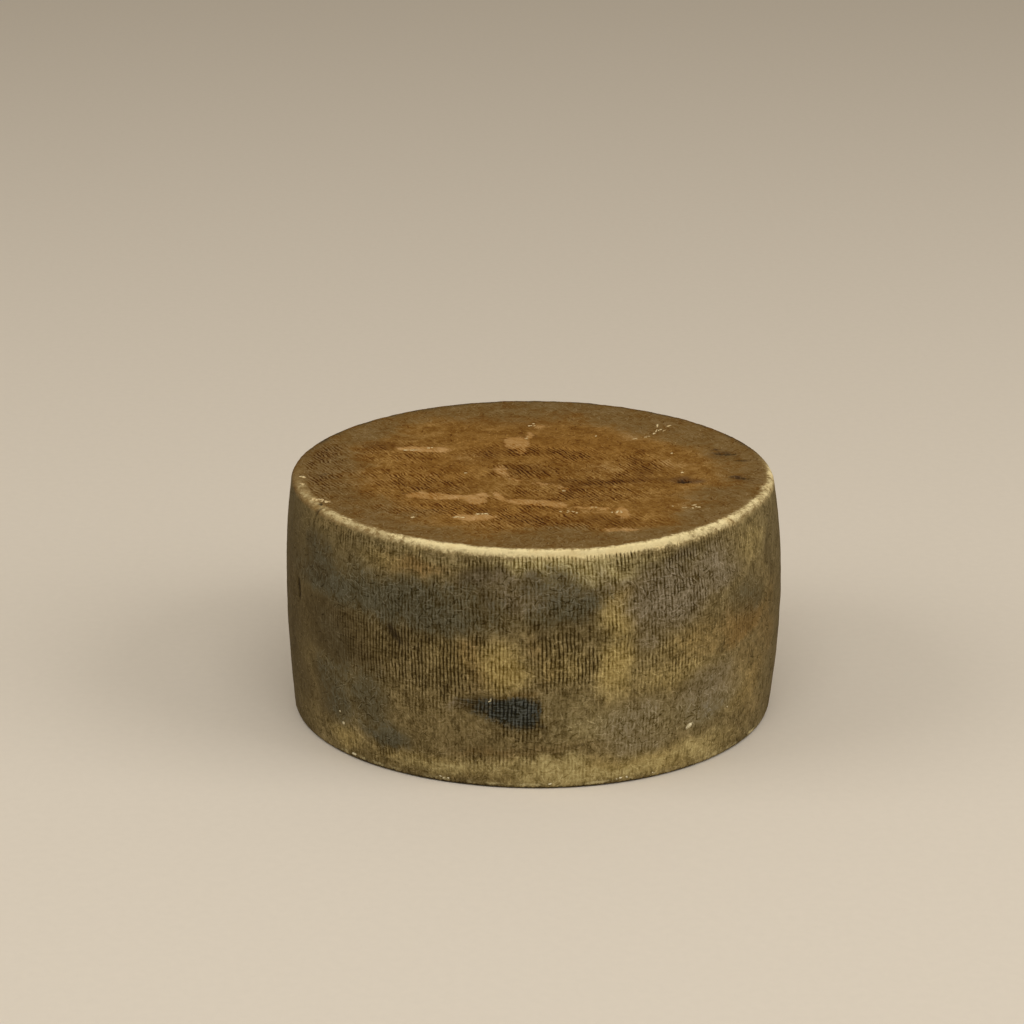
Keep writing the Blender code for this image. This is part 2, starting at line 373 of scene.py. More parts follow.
@dataclass(frozen=True)
class DrumForm:
    """Form of the wheel, with the driving sizes of its solid."""

    widest_diameter: float = 0.200
    top_diameter: float = 0.1929
    base_diameter: float = 0.1936
    height: float = 0.0972
    widest_share: float = 0.54
    top_edge_radius: float = 0.0028
    base_edge_radius: float = 0.0016
    top_dish: float = 0.0008
    bulge_lean: float = 0.0007
    rim_steadiness: float = 0.8
    # How many lobes round the side, how deep, and the azimuth in degrees where the first stands out
    side_lobes: tuple = ((2, 0.00035, 55), (3, 0.00028, 170), (5, 0.00016, 20))
    # Wavelength, half height and direction in degrees from +X of the swells across the top
    top_swells: tuple = ((0.120, 0.00034, 35), (0.074, 0.00026, 110), (0.047, 0.00018, 160))

    def side_radius(self, height: float) -> float:
        """Radius of the swollen side.

        Args:
            height: how high up the side.

        Returns:
            The radius there.
        """
        widest = self.widest_diameter / 2
        widest_height = self.widest_share * self.height
        if height > widest_height:
            share = (height - widest_height) / (self.height - widest_height)
            return widest - (widest - self.top_diameter / 2) * share**2
        return widest - (widest - self.base_diameter / 2) * (1 - height / widest_height) ** 2

    def profile(self, top_edge_steps: int, side_steps: int, base_edge_steps: int) -> np.ndarray:
        """Points of the turned profile, from the rim of the top, down the side, to the rim of the base.

        Args:
            top_edge_steps: spans round the upper edge.
            side_steps: spans down the side.
            base_edge_steps: spans round the lower edge.

        Returns:
            Rows of radius and height.
        """
        upper, lower = self.top_edge_radius, self.base_edge_radius
        top_low = self.height - upper
        top_flat = self.side_radius(top_low) - upper
        base_flat = self.side_radius(lower) - lower
        turns = [math.pi / 2 * (1 - step / top_edge_steps) for step in range(top_edge_steps + 1)]
        points = [(top_flat + upper * math.cos(turn), top_low + upper * math.sin(turn)) for turn in turns]
        heights = [top_low + (lower - top_low) * step / side_steps for step in range(1, side_steps)]
        points += [(self.side_radius(height), height) for height in heights]
        turns = [-math.pi / 2 * step / base_edge_steps for step in range(base_edge_steps + 1)]
        points += [(base_flat + lower * math.cos(turn), lower * (1 + math.sin(turn))) for turn in turns]
        return np.array(points)

    def settled(self, points: np.ndarray) -> np.ndarray:
        """Where points of the true drum have moved to on the shelf, by the solid's own rule.

        Args:
            points: rows of x, y and z on the true drum.

        Returns:
            Rows of x, y and z.
        """
        x, y, z = points.T
        radius = np.hypot(x, y)
        share_up, share_out = z / self.height, radius / (self.widest_diameter / 2)
        azimuth = np.arctan2(x, -y)
        lobes = sum(
            depth * np.cos(count * (azimuth - math.radians(start))) for count, depth, start in self.side_lobes
        )
        push = lobes * share_out**2 / np.maximum(radius, MM / 10)
        swell = 0.0
        for length, half, way in self.top_swells:
            along = x * math.cos(math.radians(way)) + y * math.sin(math.radians(way))
            swell = swell + half * np.sin(math.tau * along / length)
        swell = swell * (1 - self.rim_steadiness * share_out**2)
        lean = self.bulge_lean * 4 * share_up * (1 - share_up)
        dish = self.top_dish * (1 - share_out**2)
        return np.stack([x + x * push + lean, y + y * push, z + share_up**4 * (swell - dish)], 1)


class Term:
    """What a node gives out. Ordinary sums on terms add the nodes that work them out."""

    def __init__(self, bench: "NodeBench", socket: bpy.types.NodeSocket) -> None:
        """Takes the bench that joins it, and the node's output."""
        self.bench, self.socket = bench, socket

    def __add__(self, other: "Value") -> "Term":
        """This number and another together."""
        return self.bench.math("ADD", self, other)

    def __sub__(self, other: "Value") -> "Term":
        """This number less another."""
        return self.bench.math("SUBTRACT", self, other)

    def __rsub__(self, other: float) -> "Term":
        """A plain number less this one."""
        return self.bench.math("SUBTRACT", other, self)

    def __mul__(self, other: "Value") -> "Term":
        """This number times another."""
        return self.bench.math("MULTIPLY", self, other)

    def __truediv__(self, other: "Value") -> "Term":
        """This number divided by another."""
        return self.bench.math("DIVIDE", self, other)

    def __abs__(self) -> "Term":
        """This number without its sign."""
        return self.bench.math("ABSOLUTE", self)

    __radd__, __rmul__ = __add__, __mul__

    def scaled(self, factor: float, start: float) -> "Term":
        """This number times a factor, on top of a start."""
        return self.bench.math("MULTIPLY_ADD", self, factor, start)

    def swing(self, reach: float) -> "Term":
        """This noise with its middle at 0, grown by twice the reach."""
        return self.scaled(2 * reach, -reach)

    def ease(self, low: float, high: float) -> "Term":
        """This number eased from 0 at low to 1 at high, or from 1 to 0 where low is above high.

        Args:
            low: where it starts.
            high: where it ends.

        Returns:
            A number from 0 to 1.
        """
        inputs = {"Value": self, "From Min": low, "From Max": high}
        if low > high:
            inputs = {"Value": self, "From Min": high, "From Max": low, "To Min": 1.0, "To Max": 0.0}
        return self.bench.term("ShaderNodeMapRange", inputs, interpolation_type="SMOOTHSTEP")


Value = float | tuple | Term


class NodeBench:
    """Adds nodes to one node tree and joins them."""

    def __init__(self, tree: bpy.types.NodeTree) -> None:
        """Takes the tree to work on."""
        self.tree = tree

    def feed(self, socket: bpy.types.NodeSocket, value: Value) -> None:
        """Joins a term to an input, or sets the input.

        Args:
            socket: the input.
            value: a term, a number or a colour.
        """
        if isinstance(value, Term):
            self.tree.links.new(value.socket, socket)
        else:
            socket.default_value = value

    def add(self, kind: str, inputs: dict | None = None, **settings: object) -> bpy.types.Node:
        """A new node.

        Args:
            kind: the node's Blender type.
            inputs: input names or numbers, with what feeds each.
            settings: the node's own options.

        Returns:
            The node.
        """
        node = self.tree.nodes.new(kind)
        for name, setting in settings.items():
            setattr(node, name, setting)
        for key, value in (inputs or {}).items():
            self.feed(node.inputs[key], value)
        return node

    def term(self, kind: str, inputs: dict | None = None, output: int | str = 0, **settings: object) -> Term:
        """One output of a new node."""
        return Term(self, self.add(kind, inputs, **settings).outputs[output])

    def math(self, operation: str, *values: Value) -> Term:
        """The result of one sum on numbers."""
        return self.term("ShaderNodeMath", dict(enumerate(values)), operation=operation)

    def between(self, operation: str, first: Value, second: Value) -> Term:
        """The result of one sum on vectors, or on a vector and a number."""
        key = "Scale" if operation == "SCALE" else 1
        return self.term("ShaderNodeVectorMath", {0: first, key: second}, operation=operation)

    def mix(self, share: Value, first: Value, second: Value) -> Term:
        """One colour blended into another by a share."""
        return self.term("ShaderNodeMix", {0: share, 6: first, 7: second}, 2, data_type="RGBA")

    def vector(self, across: Value = 0.0, up: Value = 0.0, third: Value = 0.0) -> Term:
        """A vector of three numbers."""
        return self.term("ShaderNodeCombineXYZ", {0: across, 1: up, 2: third})

    def parts(self, vector: Term) -> tuple[Term, ...]:
        """The three numbers of a vector."""
        return tuple(Term(self, part) for part in self.add("ShaderNodeSeparateXYZ", {0: vector}).outputs)

    def noise(
        self, place: Term, size: Value, detail: float = 3.0, roughness: float = 0.6, distortion: float = 0.0
    ) -> Term:
        """Noise around 0.5.

        Args:
            place: where it is read.
            size: about how large its features are, in the place's own unit.
            detail: how many finer octaves it has.
            roughness: how strong the finer octaves are.
            distortion: how far it is bent by itself.

        Returns:
            The noise.
        """
        inputs = {
            "Vector": place,
            "Scale": self.math("DIVIDE", 1.0, size) if isinstance(size, Term) else 1 / size,
            "Detail": detail,
            "Roughness": roughness,
            "Distortion": distortion,
        }
        return self.term("ShaderNodeTexNoise", inputs)

    def reading(self, name: str) -> Term:
        """A number that the mesh holds at each vertex, in a material."""
        return self.term("ShaderNodeAttribute", output="Fac", attribute_name=name)

    def coat(self, coat: Coat) -> Term:
        """How much of a coat lies there, in a material."""
        return self.reading(coat.value)

    def held(self, name: str, kind: str = "FLOAT") -> Term:
        """A number or vector that the mesh holds at each vertex, in a geometry tree."""
        return self.term("GeometryNodeInputNamedAttribute", {"Name": name}, data_type=kind)

    def ramp(self, value: Term, stops: tuple) -> Term:
        """A colour read off a ramp.

        Args:
            value: where to read it, from 0 to 1.
            stops: places on the ramp and their colours.

        Returns:
            The colour.
        """
        node = self.add("ShaderNodeValToRGB", {0: value})
        spots = node.color_ramp.elements
        while len(spots) < len(stops):
            spots.new(0.5)
        for spot, (place, colour) in zip(spots, stops):
            spot.position = place
            spot.color = (*colour, 1.0)
        return Term(self, node.outputs[0])

    def dressed(self, geometry: Term, finish: Term) -> bpy.types.NodeTree:
        """Ends a geometry tree.

        Args:
            geometry: the real mesh that the tree makes.
            finish: its material.

        Returns:
            The tree.
        """
        done = self.term("GeometryNodeSetMaterial", {"Geometry": geometry, "Material": finish})
        self.add("NodeGroupOutput", {0: done})
        return self.tree


def new_material(name: str) -> tuple[bpy.types.Material, NodeBench, bpy.types.NodeInputs]:
    """A new material.

    Args:
        name: its name.

    Returns:
        The material, the bench for its nodes, and the inputs of its shader.
    """
    material = bpy.data.materials.new(name)
    material.use_nodes = True
    return material, NodeBench(material.node_tree), material.node_tree.nodes["Principled BSDF"].inputs


def new_geometry_tree(name: str, *numbers: str) -> tuple[NodeBench, dict[str, Term]]:
    """A new geometry tree, with named inputs for a mesh, some numbers and a finish.

    Args:
        name: its name.
        numbers: the names of its number inputs.

    Returns:
        The bench for its nodes, and each input by its name.
    """
    tree = bpy.data.node_groups.new(name, "GeometryNodeTree")
    kinds = {"Geometry": "Geometry", **dict.fromkeys(numbers, "Float"), "Finish": "Material"}
    for title, kind in kinds.items():
        tree.interface.new_socket(title, in_out="INPUT", socket_type=f"NodeSocket{kind}")
    tree.interface.new_socket("Geometry", in_out="OUTPUT", socket_type="NodeSocketGeometry")
    bench = NodeBench(tree)
    outputs = bench.add("NodeGroupInput").outputs
    return bench, {title: Term(bench, outputs[title]) for title in kinds}


def worked(mesh: bpy.types.Mesh, tree: bpy.types.NodeTree, inputs: dict, name: str) -> bpy.types.Object:
    """A new piece: what a geometry tree makes of a mesh, kept as a plain mesh.

    Args:
        mesh: what the tree starts from.
        tree: the tree.
        inputs: what its named inputs are given.
        name: the piece's name.

    Returns:
        The piece.
    """
    piece = bpy.data.objects.new(name, mesh)
    bpy.context.scene.collection.objects.link(piece)
    work = piece.modifiers.new(tree.name, "NODES")
    work.node_group = tree
    for item in tree.interface.items_tree:
        if item.in_out == "INPUT" and item.name in inputs:
            work[item.identifier] = inputs[item.name]
    made = bpy.data.meshes.new_from_object(piece.evaluated_get(bpy.context.evaluated_depsgraph_get()))
    piece.modifiers.clear()
    piece.data = made
    bpy.data.meshes.remove(mesh)
    made.name = name
    made.shade_smooth()
    bpy.context.view_layer.update()
    return piece


@dataclass(frozen=True)
class Tints:
    """Colours that the rind's coats take on one face."""

    low: tuple
    high: tuple
    gold: tuple
    straw: tuple
    rust: tuple
    umber: tuple
    green: tuple
    lilac: tuple
    ink: tuple


def face_tints(light: tuple, **tones: tuple) -> Tints:
    """Tints for one face, from the bytes that each shows in its light."""
    return Tints(**{name: seen(*tone, light) for name, tone in tones.items()})


SIDE_TINTS = face_tints(
    SIDE_LIGHT, low=(75, 61, 35), high=(100, 83, 51), gold=(134, 112, 65), straw=(148, 130, 86),
    rust=(98, 73, 37), umber=(54, 42, 22), green=(62, 56, 40), lilac=(91, 78, 58), ink=(46, 45, 37),
)
TOP_TINTS = face_tints(
    TOP_LIGHT, low=(112, 77, 28), high=(128, 93, 43), gold=(130, 97, 46), straw=(142, 108, 60),
    rust=(118, 79, 26), umber=(84, 50, 7), green=(102, 79, 43), lilac=(102, 80, 52), ink=(46, 28, 14),
)


@dataclass(frozen=True)
class Strokes:
    """Short bowed strokes, one in most cells of an uneven net, in millimetres and degrees from level."""

    cell: float
    half_length: float
    half_width: float
    tilt: float
    spread: float
    start: tuple = (0.0, 0.0, 0.0)


@dataclass(frozen=True)
class RindFinish:
    """The finish of the rind: pressed ribs, moulds, stains and the rubbed rim, all in one material."""

    straw: tuple = seen(224, 204, 150, RIM_LIGHT)
    dull_straw: tuple = seen(154, 131, 84, RIM_LIGHT)
    warm_straw: tuple = seen(196, 160, 98, RIM_LIGHT)
    dent_shade: tuple = seen(38, 28, 14, RIM_LIGHT)
    soot: tuple = seen(18, 19, 18, SIDE_LIGHT)
    # Painted contact shade along the foot of the side, where the wheel meets the floor
    foot_shade: tuple = seen(34, 26, 14, SIDE_LIGHT)
    edge_straw: tuple = seen(176, 158, 114, SIDE_LIGHT)
    island: tuple = seen(162, 123, 72, TOP_LIGHT)
    roughness: float = 0.82
    gloss: float = 0.08
    bump_height: float = 0.35 * MM
    # Millimetres from rib to rib on the map that counts them
    rib_pitch: float = 1.5
    # The coats in the order that they lie: how far each strays, how hard its edge is, and how well it covers
    layers: tuple = (
        (Coat.RUST, 0.6, 0.0, 0.85),
        (Coat.GOLD, 0.4, 0.0, 0.9),
        (Coat.STRAW, 0.4, 0.0, 0.85),
        (Coat.UMBER, 0.6, 0.0, 0.85),
        (Coat.LILAC, 0.8, 0.0, 0.85),
        (Coat.GREEN, 0.85, 0.0, 0.88),
        (Coat.INK, 0.9, 0.16, 0.96),
    )
    pale_threads: tuple = (
        Strokes(3.2, 2.1, 0.24, 8, 140),
        Strokes(2.2, 1.3, 0.2, 0, 180, (3.7, 1.9, 0.0)),
    )
    dark_scratches: Strokes = Strokes(2.9, 1.6, 0.24, -6, 160, (9.1, 5.3, 0.0))
    # How much a tone of 0 to 1 darkens or lightens the tint below it, in thirds, on the side and on the top
    side_tones: tuple = (
        (0.0, (0.085, 0.070, 0.028)), (0.25, (0.160, 0.140, 0.076)), (0.5, (0.333, 0.333, 0.333)),
        (0.75, (0.500, 0.520, 0.590)), (1.0, (0.680, 0.715, 0.860)),
    )
    top_tones: tuple = (
        (0.0, (0.110, 0.060, 0.003)), (0.25, (0.200, 0.140, 0.022)), (0.5, (0.333, 0.333, 0.333)),
        (0.75, (0.480, 0.540, 0.820)), (1.0, (0.640, 0.740, 1.000)),
    )

    def build(self) -> bpy.types.Material:
        """The material."""
        return RindShader(self).build()


class RindShader:
    """Lays the rind's finish down in the nodes of one material."""

    def __init__(self, finish: RindFinish) -> None:
        """Reads what every part of the finish works from.

        Args:
            finish: the colours and measures.
        """
        self.finish = finish
        self.material, bench, self.inputs = new_material("aged_rind_finish")
        self.bench = bench
        self.place = bench.term("ShaderNodeTexCoord", output="Object")
        # The map counts ribs across, whole in the middle of a slot, and millimetres along
        self.across, self.along, _ = bench.parts(bench.term("ShaderNodeUVMap", uv_map=WEAVE_MAP))
        self.on_top = bench.reading("flat_face")
        self.on_side = 1.0 - self.on_top
        drawn = bench.between("MULTIPLY", self.place, bench.vector(1.0, self.on_top.scaled(-0.15, 1.0), 0.8))
        self.grain = bench.noise(drawn, 0.8 * MM, 3, 0.7)
        self.fleck = bench.noise(drawn, 2.2 * MM, 3, 0.62, 0.6)
        self.mottle = bench.noise(drawn, 8 * MM, 4, 0.62, 0.5)
        # The mould on the side, which hides the ribs' order
        self.mould = (bench.coat(Coat.GREEN) + bench.coat(Coat.LILAC)).ease(0.0, 1.0) * self.on_side

    def build(self) -> bpy.types.Material:
        """Lays the coats, then the relief's tone on them, then the rim, the dents and the foot.

        Returns:
            The material.
        """
        bench, finish, on_top, mould = self.bench, self.finish, self.on_top, self.mould
        grain, fleck, mottle = self.grain, self.fleck, self.mottle
        slot, crest, warp = self.ribs()
        # The slots' darkening here is partly painted shade in their hollows, and partly the lining's dirt
        weave = (slot * -0.42 + crest * 0.27) * on_top.scaled(0.4, 1.0)

        # The coats, more ragged on the side, and the smooth islands over them
        frayed = mottle.swing(0.6) + fleck.swing(0.65) + grain.swing(0.5) + warp * 1.5 + weave * 0.5
        blotched = mottle.swing(0.8) + fleck.swing(0.45) + grain.swing(0.3)
        colour = bench.mix(on_top, self.coats(SIDE_TINTS, frayed), self.coats(TOP_TINTS, blotched))
        islands = (bench.coat(Coat.ISLAND) + fleck.swing(0.3) + grain.swing(0.2)).ease(0.25, 0.7)
        colour = bench.mix(islands * 0.86, colour, finish.island)

        # Ribs, threads, scratches and grain as one relief, which both tints the rind and bumps it. Its
        # darkening of the slots is partly painted shade in their hollows, and partly the lining's dirt.
        inked = bench.coat(Coat.INK).ease(0.2, 0.8)
        woven = bench.coat(Coat.RIBS).ease(-0.2, 0.8) + inked * 1.4
        weft = self.on_cloth(self.across * 0.3, self.along * 1.6, 3.0)
        relief = (
            weave
            + crest * mould * 0.1
            + warp * on_top.scaled(0.8, 1.0)
            + self.hairs() * (0.22 + mould * 0.2 + on_top * 0.05)
            + (grain.swing(0.25) + fleck.swing(0.22)) * mould.scaled(0.9, 1.0)
            + weft.swing(0.34) * woven * self.on_side
        )
        clean = (bench.coat(Coat.STRAW) + bench.coat(Coat.GOLD)).ease(0.2, 1.2)
        bared = islands.scaled(-0.55, 1.0) + inked + clean * -0.3
        tone = 0.5 + relief * bared + mottle.swing(0.2) * on_top.scaled(0.35, 1.0)
        factor = bench.mix(on_top, bench.ramp(tone, finish.side_tones), bench.ramp(tone, finish.top_tones))
        colour = bench.between("MULTIPLY", colour, bench.between("SCALE", factor, 3.0))
        colour = bench.mix(inked * slot * self.on_side * 0.6, colour, finish.soot)

        # Grime and wear lie over everything, with the dents' darkening, partly painted shade, and painted
        # contact shade at the foot
        far_grime = bench.reading("rim_grime") * (mottle + fleck).ease(0.75, 1.2)
        colour = bench.mix(far_grime, colour, finish.dent_shade)
        colour, worn = self.rubbed(colour, slot)
        # Dents darkened by their depth: partly painted shade in their hollows, and partly their own dark
        # stain
        dents = bench.reading("dark_dent") * (fleck + grain).ease(0.65, 1.0)
        colour = self.footed(bench.mix(dents, colour, finish.dent_shade))
        bench.feed(self.inputs["Base Color"], colour)
        bench.feed(self.inputs["Roughness"], finish.roughness + grain.swing(0.15) + worn * -0.15)
        bench.feed(self.inputs["Specular IOR Level"], finish.gloss)
        bump = {"Height": relief, "Distance": finish.bump_height, "Strength": 1.0}
        bench.feed(self.inputs["Normal"], bench.term("ShaderNodeBump", bump))
        return self.material

    def on_cloth(self, across: Value, along: Value, sheet: float = 0.0) -> Term:
        """Noise on the flat map of the ribs, a different one on each sheet."""
        return self.bench.noise(self.bench.vector(across, along, sheet), 1.0, 2, 0.6)

    def coats(self, tints: Tints, uneven: Term) -> Term:
        """The colour of one face before its ribs and grain.

        Args:
            tints: the face's tints.
            uneven: how far each coat strays there, around 0.

        Returns:
            The colour.
        """
        colour = self.bench.mix((0.5 + uneven).ease(0.1, 0.9), tints.low, tints.high)
        for coat, stray, hardness, cover in self.finish.layers:
            lain = self.bench.coat(coat)
            share = (lain + uneven * stray * lain.ease(0.0, 0.45)).ease(hardness, 1 - hardness)
            colour = self.bench.mix(share * cover, colour, getattr(tints, coat.name.lower()))
        return colour

    def ribs(self) -> tuple[Term, Term, Term]:
        """The dark slots between the ribs, partly painted shade in their hollows and partly dirt, and the
        pale threads on them.

        Returns:
            The share of slot, the share of thread, and a streakiness along the ribs, around 0.
        """
        bench, place, on_top = self.bench, self.place, self.on_top
        press = bench.coat(Coat.RIBS)
        wobble = bench.noise(place, 1.3 * MM, 1).swing(0.07) + bench.noise(place, 5 * MM, 1).swing(0.2)
        across = self.across + wobble * (1.0 + on_top * 2.4 + self.mould * 1.2)
        rib = bench.math("ROUND", across)
        apart = abs(across - rib)
        pace = self.along * on_top.scaled(-0.17, 0.3)
        # Each slot breaks up into beads, and goes missing over longer runs
        bead = self.on_cloth(rib * 7.31, pace)
        run = self.on_cloth(rib * 0.31, self.along * 0.13, 5.0)
        width = on_top.scaled(0.02, 0.08) + bead.swing(0.2)
        slot = (apart - width).ease(0.13, -0.03)
        dark = (bead + run.swing(0.5) + press * 0.14).ease(0.45, 0.66)
        # The press is deeper in some places than in others
        varied = bench.noise(place, 9 * MM, 2).ease(0.32, 0.6)
        least = on_top.scaled(-0.3, 0.5)
        deep = 1.0 + press.ease(0.9, 1.6) * 0.7
        strength = press.ease(-0.1, 0.95) * (least + varied * (1.0 - least)) * deep
        thread = self.on_cloth(bench.math("FLOOR", across) * 5.17, pace * 1.2, 9.0)
        crest = apart.ease(0.31, 0.46) * thread.ease(0.35, 0.65)
        streak = self.on_cloth(across * 1.3, pace, 8.0)
        warp = streak.swing(0.26) * press.ease(-0.3, 0.8)
        return slot * dark * strength, crest * strength.ease(-0.3, 0.8), warp

    def strokes(self, cloth: Term, kind: Strokes) -> Term:
        """Strokes of one kind.

        Args:
            cloth: the place on the flat map, in millimetres.
            kind: their sizes and ways.

        Returns:
            The share of stroke.
        """
        bench = self.bench
        cloth = bench.between("ADD", cloth, kind.start)
        inputs = {"Vector": cloth, "Scale": 1 / kind.cell}
        net = bench.add("ShaderNodeTexVoronoi", inputs, voronoi_dimensions="2D").outputs
        x, y, _ = bench.parts(bench.between("SUBTRACT", cloth, Term(bench, net["Position"])))
        turn, bow, presence = bench.parts(Term(bench, net["Color"]))
        angle = turn.scaled(math.radians(kind.spread), math.radians(kind.tilt - kind.spread / 2))
        cosine, sine = bench.math("COSINE", angle), bench.math("SINE", angle)
        along = x * cosine + y * sine
        beside = y * cosine - x * sine + along * along * bow.scaled(0.5, -0.25)
        line = abs(beside).ease(kind.half_width, kind.half_width * 0.3)
        reach = presence.scaled(kind.half_length, kind.half_length * 0.4)
        ends = (abs(along) / reach).ease(1.0, 0.6)
        return line * ends * presence.ease(0.4, 0.75)

    def hairs(self) -> Term:
        """Pale threads and dark scratches of the mould, lying every way.

        Returns:
            The share of thread, less the share of scratch.
        """
        bench = self.bench
        cloth = bench.vector(self.across * self.finish.rib_pitch, self.along)
        inputs = {"Vector": self.place, "Scale": 1 / (3 * MM), "Detail": 1.0}
        bend = bench.term("ShaderNodeTexNoise", inputs, output=1)
        cloth = bench.between("ADD", cloth, bench.between("SCALE", bend, 1.6))
        long_pale, short_pale = (self.strokes(cloth, kind) for kind in self.finish.pale_threads)
        return long_pale + short_pale - self.strokes(cloth, self.finish.dark_scratches)

    def rubbed(self, colour: Term, slot: Term) -> tuple[Term, Term]:
        """The pale rim, rubbed bare along the upper edge.

        Args:
            colour: the rind's colour so far.
            slot: the share of slot.

        Returns:
            The colour with the rim, and the share of rim.
        """
        bench, finish, place = self.bench, self.finish, self.place
        worn = bench.reading("rim_wear")
        thin = worn.ease(1.0, 0.6)
        ragged = bench.noise(place, 6 * MM, 4, 0.66).swing(2.4)
        fray = bench.noise(place, 1.1 * MM, 2, 0.6).swing(1.6)
        brushed = bench.noise(place, 3.2 * MM, 3, 0.7)
        off = bench.reading("rim_distance")
        below = (off + slot * 2.4 + ragged + fray + thin * 0.5).ease(3.9, 0.2)
        above = (off + ragged * 0.6 + fray).ease(-4.3, -1.3)
        kept = 1.0 - brushed.ease(0.5, 0.3) * thin.scaled(0.4, 0.12)
        share = below * above * kept * (worn + ragged * 0.12).ease(0.0, 0.8)
        bare = share * 0.8 + worn * 0.45 + self.grain.swing(0.7) + ragged * 0.15 + brushed.swing(0.5) * thin
        straw = bench.mix(bare.ease(0.45, 1.3), finish.dull_straw, finish.straw)
        warm = bench.noise(place, 11 * MM, 3, 0.6).ease(0.52, 0.7)
        straw = bench.mix(warm * 0.25, straw, finish.warm_straw)
        return bench.mix(share * 0.95, colour, straw), share

    def footed(self, colour: Term) -> Term:
        """The foot of the side: a broken pale line, and painted contact shade below it, where the wheel meets
        the floor.

        Args:
            colour: the rind's colour so far.

        Returns:
            The colour with the foot.
        """
        bench, finish = self.bench, self.finish
        height = bench.parts(self.place)[2] + self.grain.swing(1.6) * MM
        broken = bench.noise(self.place, 9 * MM, 3, 0.7).ease(0.5, 0.68)
        pale = abs(height - 1.8 * MM).ease(0.9 * MM, 0.1 * MM) * broken * self.on_side * 0.75
        # Painted contact shade below the foot, where the wheel meets the floor
        foot_shaded = height.ease(1.3 * MM, 0.3 * MM) * self.on_side * 0.85
        return bench.mix(foot_shaded, bench.mix(pale, colour, finish.edge_straw), finish.foot_shade)


